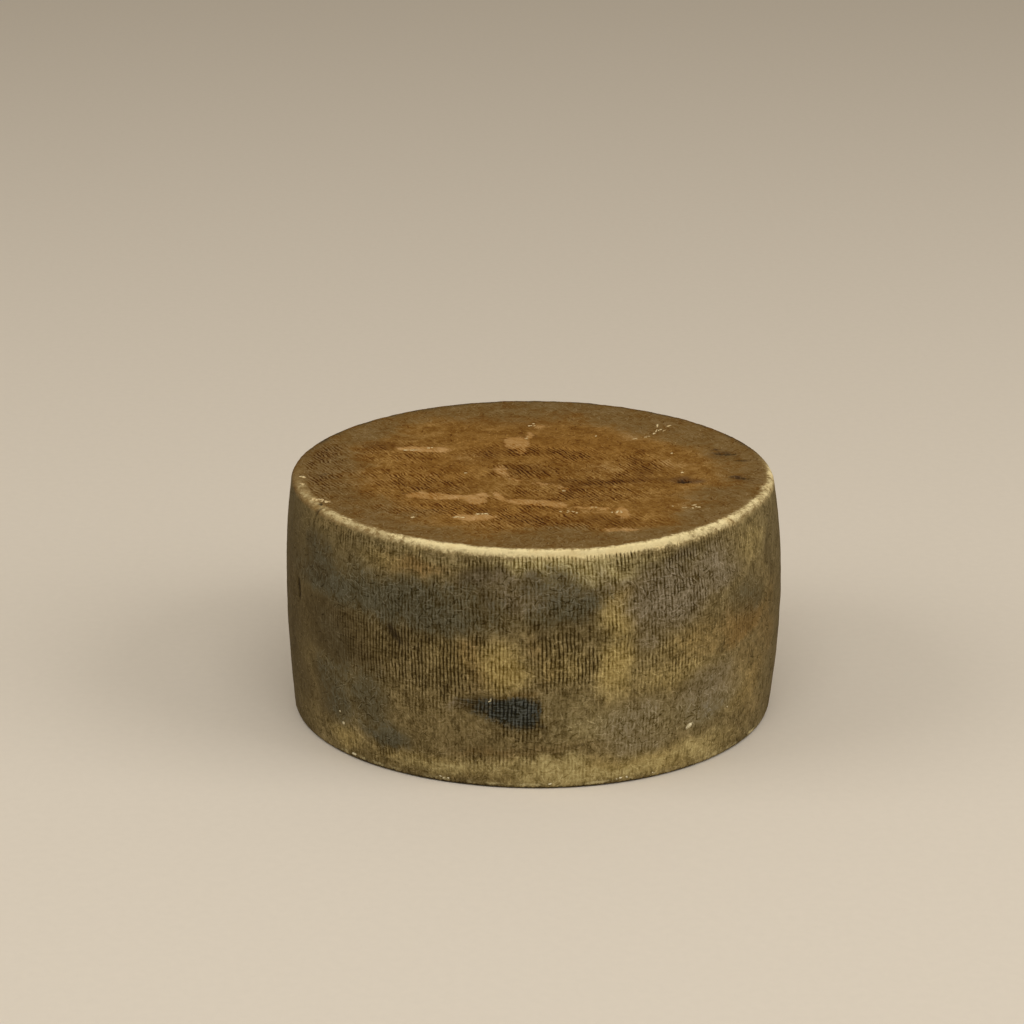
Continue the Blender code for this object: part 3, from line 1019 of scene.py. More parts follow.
@dataclass
class Rind:
    """The wheel's whole skin, one closed mesh: the drum with its ribs, dents and islands pressed in."""

    form: DrumForm = field(default_factory=DrumForm)
    rib_count: int = 420
    columns_a_rib: int = 3
    top_edge_steps: int = 5
    side_steps: int = 48
    base_edge_steps: int = 3
    # Rows of the upper edge that count as flat, above one that is half flat
    flat_rows: int = 3
    rib_depth: float = 0.00026
    rib_wander: float = 0.0004
    flat_rib_step: float = 0.00155
    flat_rib_turn: float = 27.0
    lattice_length: float = 0.003
    dent_rows: int = 5
    dent_reach: float = 7.0
    base_lattice: float = 0.0027
    base_turn: float = 140.0
    # How far the flat faces' own points stay inside their rings
    top_margin: float = 0.0012
    base_margin: float = 0.0015
    lump_height: float = 0.00032
    lump_size: float = 0.011
    crumble_height: float = 0.00022
    crumble_size: float = 0.003
    island_height: float = 0.00022
    # How far the patches' outlines stray, in millimetres, and how much of that the firm coats take
    patch_wander: float = 2.6
    wander_size: float = 24.0
    wander_seed: int = 4
    firm_share: float = 0.3
    # The mould all round the top, by millimetres from its middle
    border_start: float = 62.0
    border_full: float = 88.0
    border_strength: float = 0.88
    # How deep the ribs are pressed outside every patch, and at most
    least_side_press: float = 0.1
    least_flat_press: float = 0.05
    deepest_press: float = 1.7
    # The ribs fade in down from the crest of the edge, up from the foot, and inwards on the flat faces
    crest_fade: tuple = (0.6, 2.4)
    foot_fade: tuple = (0.5, 2.5)
    flat_fade: tuple = (-2.6, -7)
    # Dents darken where they are this share of their depth, by this much: partly painted shade in their
    # hollows, and partly their own dark
    dent_shade: tuple = (0, 0.8)
    dent_darkness: float = 0.9
    # Grime of the far rim: degrees round from the front, and millimetres above and below the crest
    grime_behind: tuple = (92, 116)
    grime_above: tuple = (-4.5, -0.5)
    grime_below: tuple = (7, 3)
    # How bare the rim is rubbed, by azimuth in degrees
    rim_wear: tuple = (
        (-180, 0), (-112, 0), (-98, 0.05), (-84, 0.3), (-72, 0.52), (-60, 0.46), (-50, 0.62), (-40, 0.56),
        (-30, 0.68), (-20, 1), (32, 1), (40, 0.76), (50, 0.72), (62, 0.61), (72, 0.63), (82, 0.58),
        (92, 0.75), (102, 0.26), (114, 0), (180, 0),
    )
    # How many millimetres the rubbed band lies below the crest of the edge, by azimuth in degrees
    rim_lean: tuple = (
        (-180, -1), (-75, -1.8), (-45, -1.0), (-30, 0), (-18, -0.4), (0, 0.5), (15, 1.1), (35, 0.1),
        (50, 0.2), (62, -0.5), (76, -0.2), (90, 1.0), (110, 0), (180, -1),
    )
    finish: RindFinish = field(default_factory=RindFinish)
    # On the map for baked pictures: its margin, the height of a strip, and the width of each disc
    bake_margin: float = 0.01
    bake_strip: float = 0.205
    bake_top: float = 0.545
    bake_base: float = 0.42
    # Made on the way: the true drum's vertices, the millimetres down its profile, how many faces its side and
    # its top have, how far the wheel is moved to stand centred, and the finished piece
    drum: np.ndarray = field(init=False)
    run: np.ndarray = field(init=False)
    side_faces: int = field(init=False)
    top_faces: int = field(init=False)
    shift: Vector = field(init=False)
    rind: bpy.types.Object = field(init=False)

    @property
    def columns(self) -> int:
        """How many columns of the mesh go round the side."""
        return self.rib_count * self.columns_a_rib

    @property
    def azimuth(self) -> np.ndarray:
        """How far round from the front each vertex lies, in radians."""
        return np.arctan2(self.drum[:, 0], -self.drum[:, 1])

    def build(self) -> bpy.types.Object:
        """The dressed rind.

        Returns:
            The piece.
        """
        inputs = {
            "Rib Depth": self.rib_depth,
            "Rib Wander": self.rib_wander,
            "Lump Height": self.lump_height,
            "Lump Size": self.lump_size,
            "Crumble Height": self.crumble_height,
            "Crumble Size": self.crumble_size,
            "Island Height": self.island_height,
        }
        tree = self.press_tree(*inputs)
        self.rind = worked(self.blank(), tree, {**inputs, "Finish": self.finish.build()}, "cheese_rind")
        return self.rind

    def surface(self, face: Face, across: float, up: float) -> tuple[Vector, Vector]:
        """The nearest point of the finished rind to a place, and the way out there.

        Args:
            face: the face.
            across: millimetres across the face.
            up: millimetres up the face.

        Returns:
            The point and its normal.
        """
        if face is TOP:
            point = (across * MM, up * MM, self.form.height)
        else:
            azimuth = across * MM / (self.form.widest_diameter / 2)
            radius = self.form.side_radius(up * MM)
            point = (radius * math.sin(azimuth), -radius * math.cos(azimuth), up * MM)
        settled = Vector(self.form.settled(np.array([point]))[0]) + self.shift
        _, spot, normal, _ = self.rind.closest_point_on_mesh(settled)
        return spot, normal

    def ring(self, radius: float) -> np.ndarray:
        """Rows of x and y round the side, one for each column."""
        azimuth = math.tau * np.arange(self.columns) / self.columns - math.pi
        return np.stack([radius * np.sin(azimuth), -radius * np.cos(azimuth)], 1)

    def blank(self) -> bpy.types.Mesh:
        """The drum before its ribs are pressed in, with its coats, dents and maps.

        Returns:
            A closed mesh.
        """
        columns = self.columns
        profile = self.form.profile(self.top_edge_steps, self.side_steps, self.base_edge_steps)
        top_radius, base_radius = profile[0, 0], profile[-1, 0]
        top_points, tops = self.cap(top_radius, self.top_lattice(top_radius))
        base_points, bases = self.cap(base_radius, self.base_points(base_radius))
        rings = [np.column_stack([self.ring(radius), np.full(columns, height)]) for radius, height in profile]
        top = np.column_stack([top_points, np.full(len(top_points), self.form.height)])
        base = np.column_stack([base_points, np.zeros(len(base_points))])
        self.drum = np.concatenate([*rings, top, base])

        last_row = (len(profile) - 1) * columns
        top_start = last_row + columns
        base_start = top_start + len(top)
        row, column = np.divmod(np.arange(last_row), columns)
        beside = (column + 1) % columns
        upper, lower = row * columns, (row + 1) * columns
        sides = np.stack([upper + column, lower + column, lower + beside, upper + beside], 1)
        tops = np.where(tops < columns, tops, tops - columns + top_start)
        bases = np.where(bases < columns, bases + last_row, bases - columns + base_start)
        self.side_faces, self.top_faces = len(sides), len(tops)
        settled = self.form.settled(self.drum)
        low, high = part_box(SOLID)
        middle = (settled[:, :2].min(0) + settled[:, :2].max(0)) / 2
        self.shift = Vector(((low.x + high.x) / 2 - middle[0], (low.y + high.y) / 2 - middle[1], low.z))
        mesh = bpy.data.meshes.new("rind_blank")
        faces = [*sides.tolist(), *tops.tolist(), *bases[:, ::-1].tolist()]
        mesh.from_pydata((settled + np.array(self.shift)).tolist(), [], faces)

        self.run = np.concatenate([[0], np.cumsum(np.hypot(*np.diff(profile, axis=0).T))]) / MM
        below = self.run - self.run[self.top_edge_steps] / 2
        inward = (top_radius - np.hypot(*top_points.T)) / MM
        outward = (base_radius - np.hypot(*base_points.T)) / MM
        edge = np.concatenate([np.repeat(below, columns), below[0] - inward, below[-1] + outward])
        flat = np.zeros(len(self.drum))
        flat[: columns * (self.flat_rows + 1)] = 0.5
        flat[: columns * self.flat_rows] = 1
        flat[last_row:] = 1
        self.hold(mesh, self.places(top_start, base_start), flat, edge)
        self.lay_maps(mesh)
        return mesh

    def places(self, top_start: int, base_start: int) -> np.ndarray:
        """Each vertex's place on its face. The back folds onto the front, and the base turns under the top.

        Args:
            top_start: where the top's own vertices start.
            base_start: where the base's own vertices start.

        Returns:
            Rows of across, up and the face's number.
        """
        radius = self.form.widest_diameter / 2 / MM
        quarter = radius * math.pi / 2
        place = self.drum / MM
        arc = self.azimuth * radius
        place[:, 0] = np.where(np.abs(arc) > quarter, np.sign(arc) * 2 * quarter - arc, arc)
        place[:, 1] = place[:, 2]
        place[:, 2] = SIDE.value
        place[top_start:, :2] = self.drum[top_start:, :2] / MM
        place[top_start:, 2] = TOP.value
        turn = math.radians(self.base_turn)
        x, y = self.drum[base_start:, :2].T / MM
        place[base_start:, 0] = x * math.cos(turn) - y * math.sin(turn)
        place[base_start:, 1] = x * math.sin(turn) + y * math.cos(turn)
        return place

    def cap(self, radius: float, inner: np.ndarray) -> tuple[np.ndarray, np.ndarray]:
        """A disc of triangles over a ring and the points inside it.

        Args:
            radius: the ring's radius.
            inner: x and y of the points inside.

        Returns:
            The inner points, and triangles that number the ring first and then those points.
        """
        points = np.concatenate([self.ring(radius), inner])
        found = delaunay_2d_cdt([Vector(point) for point in points], [], [], 0, 1e-9)
        source = np.array([origin[0] for origin in found[3]])
        triangles = source[np.array(found[2])]
        corners = points[triangles]
        first, second = corners[:, 1] - corners[:, 0], corners[:, 2] - corners[:, 0]
        turned = first[:, 0] * second[:, 1] - first[:, 1] * second[:, 0] < 0
        triangles[turned] = triangles[turned][:, ::-1]
        return inner, triangles

    def top_lattice(self, radius: float) -> np.ndarray:
        """Points of the top, in lines along its ribs, closer together round each dent.

        Args:
            radius: the radius of the ring round them.

        Returns:
            Rows of x and y.
        """
        step, span = self.flat_rib_step / self.columns_a_rib, self.lattice_length / self.dent_rows
        reach = radius - self.top_margin
        lines, rows = int(reach / step), int(reach / span)
        line, row = np.meshgrid(np.arange(-lines, lines + 1), np.arange(-rows, rows + 1), indexing="ij")
        turn = math.radians(self.flat_rib_turn)
        across, along = line.ravel() * step, row.ravel() * span
        x = across * math.cos(turn) - along * math.sin(turn)
        y = across * math.sin(turn) + along * math.cos(turn)
        wanted = row.ravel() % self.dent_rows == 0
        for dent in DENTS.values():
            if dent.face is TOP:
                wanted |= np.hypot(x / MM - dent.across, y / MM - dent.up) < self.dent_reach
        return np.stack([x, y], 1)[wanted & (np.hypot(x, y) < reach)]

    def base_points(self, radius: float) -> np.ndarray:
        """Points of the base, in staggered rows.

        Args:
            radius: the radius of the ring round them.

        Returns:
            Rows of x and y.
        """
        step = self.base_lattice
        count = int(radius / step) + 1
        line, row = np.meshgrid(np.arange(-count, count + 1), np.arange(-count, count + 1), indexing="ij")
        points = np.stack([(line + 0.5 * (row % 2)).ravel() * step, row.ravel() * step], 1)
        return points[np.hypot(*points.T) < radius - self.base_margin]

    def hold(self, mesh: bpy.types.Mesh, place: np.ndarray, flat: np.ndarray, edge: np.ndarray) -> None:
        """Stores on each vertex what lies there: the coats, the dents, the rim's wear and the slots.

        Args:
            mesh: the blank.
            place: rows of across, up and the face's number.
            flat: 1 on the top and the base and 0 on the side.
            edge: millimetres below the crest of the upper edge, negative on the top.
        """
        x, y, z = self.drum.T
        azimuth = np.degrees(self.azimuth)
        side = place[:, 2] == SIDE.value
        # Only the front of the side and the top show the photograph's marks
        shown = np.where(side, y < 0, z > 0)
        shift = wander(self.drum / MM, self.wander_size, self.patch_wander, self.wander_seed)
        numbers = {"flat_face": flat}
        for coat in Coat:
            strayed = place.copy()
            strayed[:, :2] += shift * (self.firm_share if coat in FIRM_COATS else 1)
            shares = [patch.share(strayed) for patch in PATCHES if patch.coat is coat]
            numbers[coat.value] = np.max(shares, 0)
        numbers[Coat.INK.value] *= shown
        border = smooth(self.border_start, self.border_full, np.hypot(x, y) / MM + 2 * shift[:, 0])
        border = border * flat * self.border_strength
        numbers[Coat.GREEN.value] = np.maximum(numbers[Coat.GREEN.value], border)
        side_fade = smooth(*self.crest_fade, edge) * smooth(*self.foot_fade, place[:, 1])
        ribs = numbers[Coat.RIBS.value] + np.where(side, self.least_side_press, self.least_flat_press)
        ribs *= np.where(side, side_fade, smooth(*self.flat_fade, edge))
        numbers[Coat.RIBS.value] = np.clip(ribs, 0, self.deepest_press)
        numbers["slot"] = self.slots(side)
        numbers["dent"] = np.max([dent.depths(place) for dent in DENTS.values()], 0) * MM * shown
        shade = np.max([dent.depths(place) / dent.depth * dent.darkness for dent in DENTS.values()], 0)
        numbers["dark_dent"] = smooth(*self.dent_shade, shade) * shown * self.dent_darkness
        numbers["rim_distance"] = edge - np.interp(azimuth, *zip(*self.rim_lean))
        numbers["rim_wear"] = np.interp(azimuth, *zip(*self.rim_wear))
        behind = smooth(*self.grime_behind, np.abs(azimuth))
        numbers["rim_grime"] = behind * smooth(*self.grime_above, edge) * smooth(*self.grime_below, edge)
        for name, values in numbers.items():
            mesh.attributes.new(name, "FLOAT", "POINT").data.foreach_set("value", values.astype(np.float32))

    def flat_weave(self) -> np.ndarray:
        """The flat faces' map of ribs.

        Returns:
            Rows of ribs across, and metres along them, for each vertex.
        """
        x, y, _ = self.drum.T
        turn = math.radians(self.flat_rib_turn)
        across = (x * math.cos(turn) + y * math.sin(turn)) / self.flat_rib_step
        return np.stack([across, y * math.cos(turn) - x * math.sin(turn)], 1)

    def slots(self, side: np.ndarray) -> np.ndarray:
        """Where the slots between the ribs lie.

        Args:
            side: whether each vertex is on the side.

        Returns:
            1 in the middle of a slot and 0 on the ribs, at each vertex.
        """
        round_side = (self.azimuth + math.pi) / math.tau * self.rib_count
        count = np.where(side, round_side, self.flat_weave()[:, 0])
        return np.clip(1 - self.columns_a_rib * np.abs(count - np.round(count)), 0, 1)

    def lay_maps(self, mesh: bpy.types.Mesh) -> None:
        """Lays both maps.

        The first counts ribs across and millimetres along them. The second is for baked pictures, with the
        side's front and back as strips, and both discs above them.

        Args:
            mesh: the blank.
        """
        corners = np.empty(len(mesh.loops), np.int32)
        mesh.loops.foreach_get("vertex_index", corners)
        row, column = np.divmod(np.arange(self.side_faces), self.columns)
        down = self.run[np.stack([row, row + 1, row + 1, row], 1)]
        aside = np.array([0, 0, 1, 1])
        side_end = self.side_faces * 4
        top_end = side_end + self.top_faces * 3
        weave = (self.flat_weave() * (1, 1 / MM))[corners]
        weave[:side_end, 0] = ((column[:, None] + aside) / self.columns_a_rib).ravel()
        weave[:side_end, 1] = down.ravel()

        margin, strip = self.bake_margin, self.bake_strip
        half = self.columns // 2
        start = half // 2
        front = (column >= start) & (column < start + half)
        first = np.where(front, column - start, (column - start - half) % self.columns)[:, None]
        floor = np.where(front[:, None], margin, 2 * margin + strip)
        bake = np.empty((len(corners), 2))
        bake[:side_end, 0] = (margin + (1 - 2 * margin) * (first + aside) / half).ravel()
        bake[:side_end, 1] = (floor + strip * (1 - down / self.run[-1])).ravel()
        shelf = 3 * margin + 2 * strip
        flat = self.drum[:, :2] / self.form.widest_diameter
        for part, size, left in (
            (slice(side_end, top_end), self.bake_top, margin),
            (slice(top_end, None), self.bake_base, 2 * margin + self.bake_top),
        ):
            bake[part] = (left + size / 2, shelf + size / 2) + flat[corners[part]] * size
        for name, uv in ((WEAVE_MAP, weave), (BAKE_MAP, bake)):
            layer = mesh.uv_layers.new(name=name, do_init=False)
            layer.uv.foreach_set("vector", uv.astype(np.float32).ravel())
        mesh.uv_layers.active = layer

    def press_tree(self, *numbers: str) -> bpy.types.NodeTree:
        """Presses the ribs, lumps, islands and dents into the blank, along its normals.

        Args:
            numbers: the names of the tree's number inputs.

        Returns:
            The tree.
        """
        bench, given = new_geometry_tree("press_rind", *numbers)
        place = bench.term("GeometryNodeInputPosition")
        normal = bench.term("GeometryNodeInputNormal")
        height = bench.parts(place)[2]
        from_rim = abs(bench.held("rim_distance"))

        # Slots of uneven depth, slow lumps, and crumbs that are larger near the rim and the foot
        uneven = bench.noise(place, 1.9 * MM, 1).ease(0.25, 0.6)
        slot = bench.held("slot") * bench.held(Coat.RIBS.value) * uneven * given["Rib Depth"]
        lumps = bench.noise(place, given["Lump Size"]).swing(1.0) * given["Lump Height"]
        ragged = 0.25 + from_rim.ease(7.0, 1.0) * 0.4 + height.ease(6 * MM, 1 * MM)
        crumble = bench.noise(place, given["Crumble Size"], 2).swing(1.0) * given["Crumble Height"] * ragged
        island = bench.held(Coat.ISLAND.value).ease(0.3, 0.7) * given["Island Height"]
        move = lumps + crumble + island - (slot + bench.held("dent"))
        out = bench.between("SCALE", normal, move * height.ease(0.0, 2 * MM))

        # The ribs sway aside: round the wheel on its side, and across their own lines on the flat faces
        turn = math.radians(self.flat_rib_turn)
        flat = bench.held("flat_face")
        around = bench.between("CROSS_PRODUCT", (0.0, 0.0, 1.0), normal)
        beside = bench.between("SCALE", (math.cos(turn), math.sin(turn), 0.0), flat)
        aside = bench.between("ADD", bench.between("SCALE", around, 1.0 - flat), beside)
        sway = bench.noise(place, 13 * MM, 2).swing(2.0) * given["Rib Wander"]
        sway = sway * from_rim.ease(1.0, 6.0) * height.ease(0.0, 4 * MM)
        push = bench.between("ADD", out, bench.between("SCALE", aside, sway))
        moved = bench.term("GeometryNodeSetPosition", {"Geometry": given["Geometry"], "Offset": push})
        real = bench.term("GeometryNodeRealizeInstances", {0: moved})
        return bench.dressed(real, given["Finish"])


@dataclass(frozen=True)
class Cluster:
    """Grains lying together: their place, reach, number and usual size, in millimetres and degrees."""

    face: Face
    across: float
    up: float
    half_across: float = 0.0
    half_up: float = 0.0
    count: int = 1
    length: float = 1.2
    width: float = 0.8
    thickness: float = 0.35
    turn: float = 0.0
    spread: float = 25.0

    def place(self, chance: np.random.Generator) -> tuple[float, float]:
        """Where one more grain lies.

        Args:
            chance: what draws it.

        Returns:
            Its place across and up.
        """
        way, reach = chance.uniform(0, math.tau), math.sqrt(chance.uniform(0, 1))
        x, y = self.half_across * reach * math.cos(way), self.half_up * reach * math.sin(way)
        turn = math.radians(self.turn)
        return (self.across + x * math.cos(turn) - y * math.sin(turn),
                self.up + x * math.sin(turn) + y * math.cos(turn))


@dataclass(frozen=True)
class GrainFinish:
    """Dry, pale, crumbly stuff of two tints."""

    name: str
    pale: tuple
    dull: tuple
    roughness: float = 0.7
    gloss: float = 0.15
    blotch_size: float = 1.1 * MM

    def build(self) -> bpy.types.Material:
        """The finish as nodes.

        Returns:
            The material.
        """
        material, bench, inputs = new_material(self.name)
        place = bench.term("ShaderNodeTexCoord", output="Object")
        share = bench.noise(place, self.blotch_size, 2).ease(0.35, 0.65)
        bench.feed(inputs["Base Color"], bench.mix(share, self.dull, self.pale))
        bench.feed(inputs["Roughness"], self.roughness)
        bench.feed(inputs["Specular IOR Level"], self.gloss)
        return material


@dataclass(frozen=True)
class Grains:
    """Small closed lumps, each laid flat on the rind: one piece for each kind."""

    name: str
    clusters: tuple
    finish: GrainFinish
    seed: int
    # How much of its thickness a grain stands out of the rind, and how uneven its surface is
    proud_share: float = 0.55
    unevenness: float = 0.00022
    unevenness_size: float = 0.0009

    def build(self, skin: Rind) -> bpy.types.Object:
        """The grains, lying on the finished rind.

        Args:
            skin: the rind, already built.

        Returns:
            The piece.
        """
        points = bpy.data.meshes.new(self.name)
        chance = np.random.default_rng(self.seed)
        spots, lies, sizes = [], [], []
        for cluster in self.clusters:
            for _ in range(cluster.count):
                across, up = cluster.place(chance)
                grow = chance.uniform(0.75, 1.25)
                turn = math.radians(cluster.turn + chance.uniform(-1, 1) * cluster.spread)
                spot, normal = skin.surface(cluster.face, across, up)
                half = cluster.thickness / 2 * MM * grow
                spots.append(tuple(spot + normal * half * (2 * self.proud_share - 1)))
                lies.append(tuple(self.lie(normal, turn)))
                sizes.append((cluster.length / 2 * MM * grow, cluster.width / 2 * MM * grow, half))
        points.from_pydata(spots, [], [])
        for name, rows in (("lie", lies), ("grain_size", sizes)):
            values = np.array(rows, np.float32).ravel()
            points.attributes.new(name, "FLOAT_VECTOR", "POINT").data.foreach_set("vector", values)
        inputs = {"Unevenness": self.unevenness, "Unevenness Size": self.unevenness_size}
        tree = self.scatter_tree(*inputs)
        return worked(points, tree, {**inputs, "Finish": self.finish.build()}, self.name)

    def lie(self, normal: Vector, turn: float) -> Euler:
        """How a grain is turned to lie flat on the rind.

        Args:
            normal: the way out of the rind.
            turn: how far its long way is turned from level.

        Returns:
            The angles.
        """
        level = Vector((1, 0, 0)) if abs(normal.z) > 0.7 else Vector((0, 0, 1)).cross(normal).normalized()
        upward = normal.cross(level).normalized()
        level = upward.cross(normal)
        long_way = level * math.cos(turn) + upward * math.sin(turn)
        return Matrix((long_way, normal.cross(long_way), normal)).transposed().to_euler()

    def scatter_tree(self, *numbers: str) -> bpy.types.NodeTree:
        """Puts an uneven grain on each point, turned and sized by what the point holds.

        Args:
            numbers: the names of the tree's number inputs.

        Returns:
            The tree.
        """
        bench, given = new_geometry_tree(f"scatter_{self.name}", *numbers)
        grains = {
            "Points": given["Geometry"],
            "Instance": bench.term("GeometryNodeMeshIcoSphere", {"Radius": 1.0, "Subdivisions": 1}),
            "Rotation": bench.term("FunctionNodeEulerToRotation", {0: bench.held("lie", "FLOAT_VECTOR")}),
            "Scale": bench.held("grain_size", "FLOAT_VECTOR"),
        }
        put = bench.term("GeometryNodeInstanceOnPoints", grains)
        real = bench.term("GeometryNodeRealizeInstances", {0: put})
        rough = bench.noise(bench.term("GeometryNodeInputPosition"), given["Unevenness Size"], 1)
        push = rough.swing(2.0) * given["Unevenness"]
        offset = bench.between("SCALE", bench.term("GeometryNodeInputNormal"), push)
        shaped = bench.term("GeometryNodeSetPosition", {"Geometry": real, "Offset": offset})
        return bench.dressed(shaped, given["Finish"])


SALT_AND_HIGHLIGHT_CLUSTERS = (
    # The thin white strokes at the right
    Cluster(TOP, 53.1, 60.5, length=4.6, width=0.8, thickness=0.5, turn=88, spread=4),
    Cluster(TOP, 52.4, 53.8, length=6.0, width=0.9, thickness=0.5, turn=80, spread=4),
    Cluster(TOP, 50.6, 50.0, 0.9, 1.6, 3, 2.0, 0.8, 0.35, 50),
    Cluster(TOP, 58.0, 60.5, length=3.4, width=1.2, thickness=0.4, turn=50),
    Cluster(TOP, 55.0, 54.0, 1.2, 2.6, 3, 3.0, 0.4, 0.3, 60, 10),
    Cluster(TOP, 47.5, 45.5, 2.0, 1.5, 3, 1.4, 0.5, 0.3, 40),
    Cluster(TOP, 43.5, 42.5, 0.8, 1.2, 2, 1.5, 0.7, 0.3, 120),
    # Lone white grains
    Cluster(TOP, 26.8, 46.7, length=1.9, width=1.0, turn=90),
    Cluster(TOP, 57.4, 23.9, length=1.9, width=1.0, turn=80),
    Cluster(TOP, 60, -1, 0.8, 1.5, 2, 1.6, 0.9, 0.35, 90),
    Cluster(TOP, 1, 60, 2.0, 3.0, 4, 1.4, 0.7),
    Cluster(TOP, -2.3, 44, 1.0, 2.0, 3, 1.6, 0.8),
    Cluster(TOP, -47, -57, 1.5, 1.0, 2, 1.6, 0.8),
    # Pale grains at the bright ends and edges of the pale islands, partly painted highlight where their
    # raised edges catch the light
    Cluster(TOP, -50.5, 28.2, 4.0, 0.5, 7, 1.9, 1.0, 0.3, 0, 12),
    Cluster(TOP, -42, 31.5, 2.5, 0.8, 3, 1.3, 0.8),
    Cluster(TOP, -20, -52.3, 3.5, 0.8, 8, 1.5, 1.0),
    Cluster(TOP, -28.5, -57.3, 2.0, 0.6, 4, 1.8, 1.0),
    Cluster(TOP, 25, -45.4, 2.0, 0.5, 3, 1.4, 0.8),
    Cluster(TOP, 34, -50.5, 1.0, 4.0, 5, 1.6, 0.9, 0.3, 90),
    Cluster(TOP, 14, -50, 4.5, 1.5, 6, 1.1, 0.8),
    Cluster(TOP, 60, -44.5, 6.0, 2.0, 9, 1.3, 0.8),
    Cluster(TOP, 11.7, -22.2, 1.0, 1.0, 2, 1.3, 0.9),
    Cluster(TOP, -26.6, -0.8, length=1.6, width=1.0),
    # Pale flecks above the nick in the rim
    Cluster(TOP, -84.0, -37.0, 1.8, 1.4, 5, 2.2, 1.4, 1.1, -12),
    Cluster(TOP, -80.4, -39.2, 2.4, 0.8, 5, 1.8, 1.0, 0.8, -20),
    Cluster(TOP, -92, -8, 1.0, 2.5, 3, 1.8, 1.2),
    Cluster(TOP, -91, -17, 1.0, 2.0, 3, 1.6, 1.1),
)
CHIP_CLUSTERS = (
    Cluster(SIDE, 65.4, 19.0, length=4.4, width=1.8, thickness=1.3, turn=22, spread=4),
    Cluster(SIDE, 86.8, 21.0, length=1.2, width=1.0, thickness=0.5),
    Cluster(SIDE, -85.9, 14.0, length=1.9, width=1.7, thickness=0.5, turn=90),
    Cluster(SIDE, -87.7, 18.6, length=1.1, width=0.9, thickness=0.4),
    # The pale crescent beside the gas hole
    Cluster(SIDE, -17.1, 37.4, length=1.5, width=0.5, thickness=0.3, turn=80, spread=0),
    Cluster(SIDE, -17.6, 36.7, length=1.2, width=0.5, thickness=0.3, turn=25, spread=0),
    # Bits along the foot
    Cluster(SIDE, 34.5, 2.4, 1.6, 0.4, 3, 1.1, 0.7, 0.4, 0),
    Cluster(SIDE, 38, 2.4, 1.2, 0.3, 2, 1.0, 0.6, 0.3, 0),
    Cluster(SIDE, 52, 2.2, 2.5, 0.4, 2, 0.9, 0.6, 0.3, 0),
    Cluster(SIDE, 6, 2.2, 1.8, 0.3, 2, 1.0, 0.5, 0.3, 0),
    Cluster(SIDE, -80.5, 2.2, 1.2, 0.5, 3, 1.4, 0.9, 0.4, 0),
    Cluster(SIDE, -40, 2.2, 6.0, 0.4, 3, 1.0, 0.7, 0.3, 0),
)
# The pale grains on the top are salt, with painted highlights among them at the islands' edges
SALT_AND_HIGHLIGHT_FINISH = GrainFinish("salt_and_highlight_grain", seen(216, 196, 156, TOP_LIGHT), seen(176, 150, 108, TOP_LIGHT))
CHIP_FINISH = GrainFinish("rind_chip", seen(192, 176, 144, SIDE_LIGHT), seen(150, 134, 100, SIDE_LIGHT))
PIECES = (
    Grains("salt_and_highlight_grains", SALT_AND_HIGHLIGHT_CLUSTERS, SALT_AND_HIGHLIGHT_FINISH, seed=11),
    Grains("rind_chips", CHIP_CLUSTERS, CHIP_FINISH, seed=7),
)


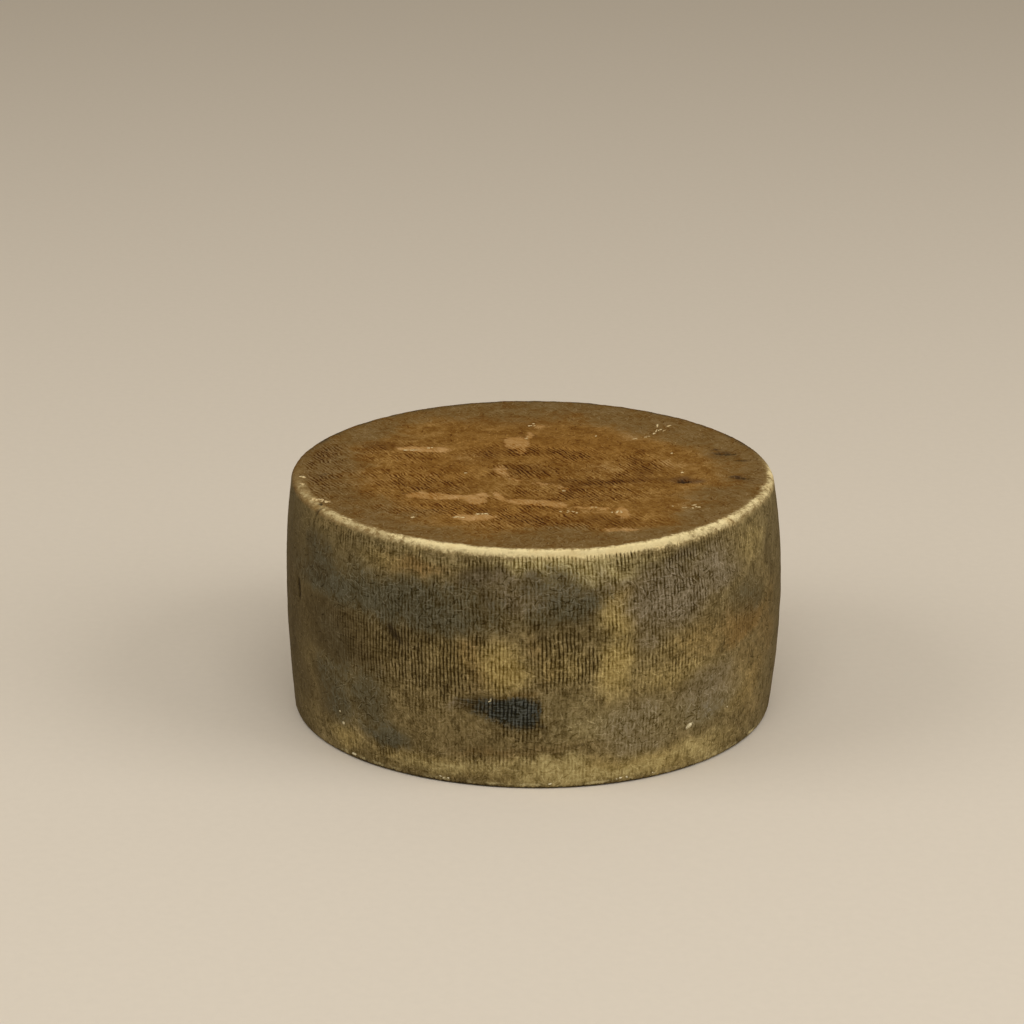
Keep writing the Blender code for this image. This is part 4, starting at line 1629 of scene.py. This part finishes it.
@dataclass(frozen=True)
class Studio:
    """Plain pale floor, soft light from both sides and above, and the camera at the photograph's angle."""

    # Camera in the wheel's own frame, before the wheel is centred
    camera_place: tuple = (-0.008066, -1.303606, 0.529079)
    camera_pitch: float = 19.028
    lens: float = 120.0
    sensor: float = 36.0
    far_clip: float = 50.0
    floor_size: float = 16.0
    floor_tint: tuple = seen(216, 207, 193)
    # How much darker the floor's fibres are, and their size
    fibre_shade: float = 0.94
    fibre_size: float = 4 * MM
    floor_roughness: float = 0.9
    floor_gloss: float = 0.1
    world_tint: tuple = (1.0, 0.89, 0.73, 1.0)
    world_strength: float = 0.34
    # Each lamp's name, place, width, power and colour, and the point that all of them face
    lamps: tuple = (
        ("right_light", (1.5, -0.6, 1.2), 1.2, 15.5, (1.0, 0.975, 0.94)),
        ("left_light", (-1.5, -0.4, 1.2), 1.2, 11.5, (1.0, 0.975, 0.94)),
        ("overhead_light", (0.1, -1.1, 2.2), 1.8, 21.0, (0.99, 0.98, 0.96)),
    )
    lit_point: tuple = (0, 0, 0.05)

    def build(self, shift: Vector) -> None:
        """Puts up the floor, the lights and the camera.

        Args:
            shift: how far the wheel was moved to stand centred.
        """
        scene = bpy.context.scene
        scene.view_settings.view_transform = "Standard"
        self.floor()
        self.lights(scene)
        camera = bpy.data.cameras.new("photo_camera")
        camera.lens = self.lens
        camera.sensor_width = self.sensor
        camera.clip_end = self.far_clip
        view = bpy.data.objects.new("photo_camera", camera)
        view.location = Vector(self.camera_place) + Vector((shift.x, shift.y, 0))
        view.rotation_euler = (math.radians(90 - self.camera_pitch), 0, 0)
        scene.collection.objects.link(view)
        scene.camera = view

    def floor(self) -> None:
        """A wide, matt, pale floor."""
        half = self.floor_size / 2
        corners = [(-half, -half, 0), (half, -half, 0), (half, half, 0), (-half, half, 0)]
        mesh = bpy.data.meshes.new("studio_floor")
        mesh.from_pydata(corners, [], [(0, 1, 2, 3)])
        material, bench, inputs = new_material("studio_floor_paper")
        place = bench.term("ShaderNodeTexCoord", output="Object")
        fibre = bench.noise(place, self.fibre_size, 4, 0.6)
        darker = tuple(channel * self.fibre_shade for channel in self.floor_tint[:3]) + (1.0,)
        bench.feed(inputs["Base Color"], bench.mix(fibre, darker, self.floor_tint))
        bench.feed(inputs["Roughness"], self.floor_roughness)
        bench.feed(inputs["Specular IOR Level"], self.floor_gloss)
        mesh.materials.append(material)
        floor = bpy.data.objects.new("studio_floor", mesh)
        bpy.context.scene.collection.objects.link(floor)

    def lights(self, scene: bpy.types.Scene) -> None:
        """Two large side lights, one overhead and a pale surround.

        Args:
            scene: the scene that they light.
        """
        for name, place, size, power, tint in self.lamps:
            lamp = bpy.data.lights.new(name, "AREA")
            lamp.shape = "SQUARE"
            lamp.size = size
            lamp.energy = power
            lamp.color = tint
            light = bpy.data.objects.new(name, lamp)
            light.location = place
            aim = Vector(self.lit_point) - light.location
            light.rotation_euler = aim.to_track_quat("-Z", "Y").to_euler()
            scene.collection.objects.link(light)
        world = bpy.data.worlds.new("pale_surround")
        world.use_nodes = True
        background = world.node_tree.nodes["Background"]
        background.inputs["Color"].default_value = self.world_tint
        background.inputs["Strength"].default_value = self.world_strength
        scene.world = world


def report(piece: bpy.types.Object) -> None:
    """Logs a piece's name and how many triangles it has."""
    LOG.info("%s: %d triangles", piece.name, sum(len(face.vertices) - 2 for face in piece.data.polygons))


def main() -> None:
    """Builds the wheel's pieces in order, then the studio."""
    logging.basicConfig(level=logging.INFO, format="%(name)s %(message)s")
    skin = Rind()
    rind = skin.build()
    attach(rind, "root")
    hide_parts(SOLID)
    report(rind)
    for grains in PIECES:
        piece = grains.build(skin)
        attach(piece, "root")
        report(piece)
    Studio().build(skin.shift)


if __name__ == "__main__":
    main()
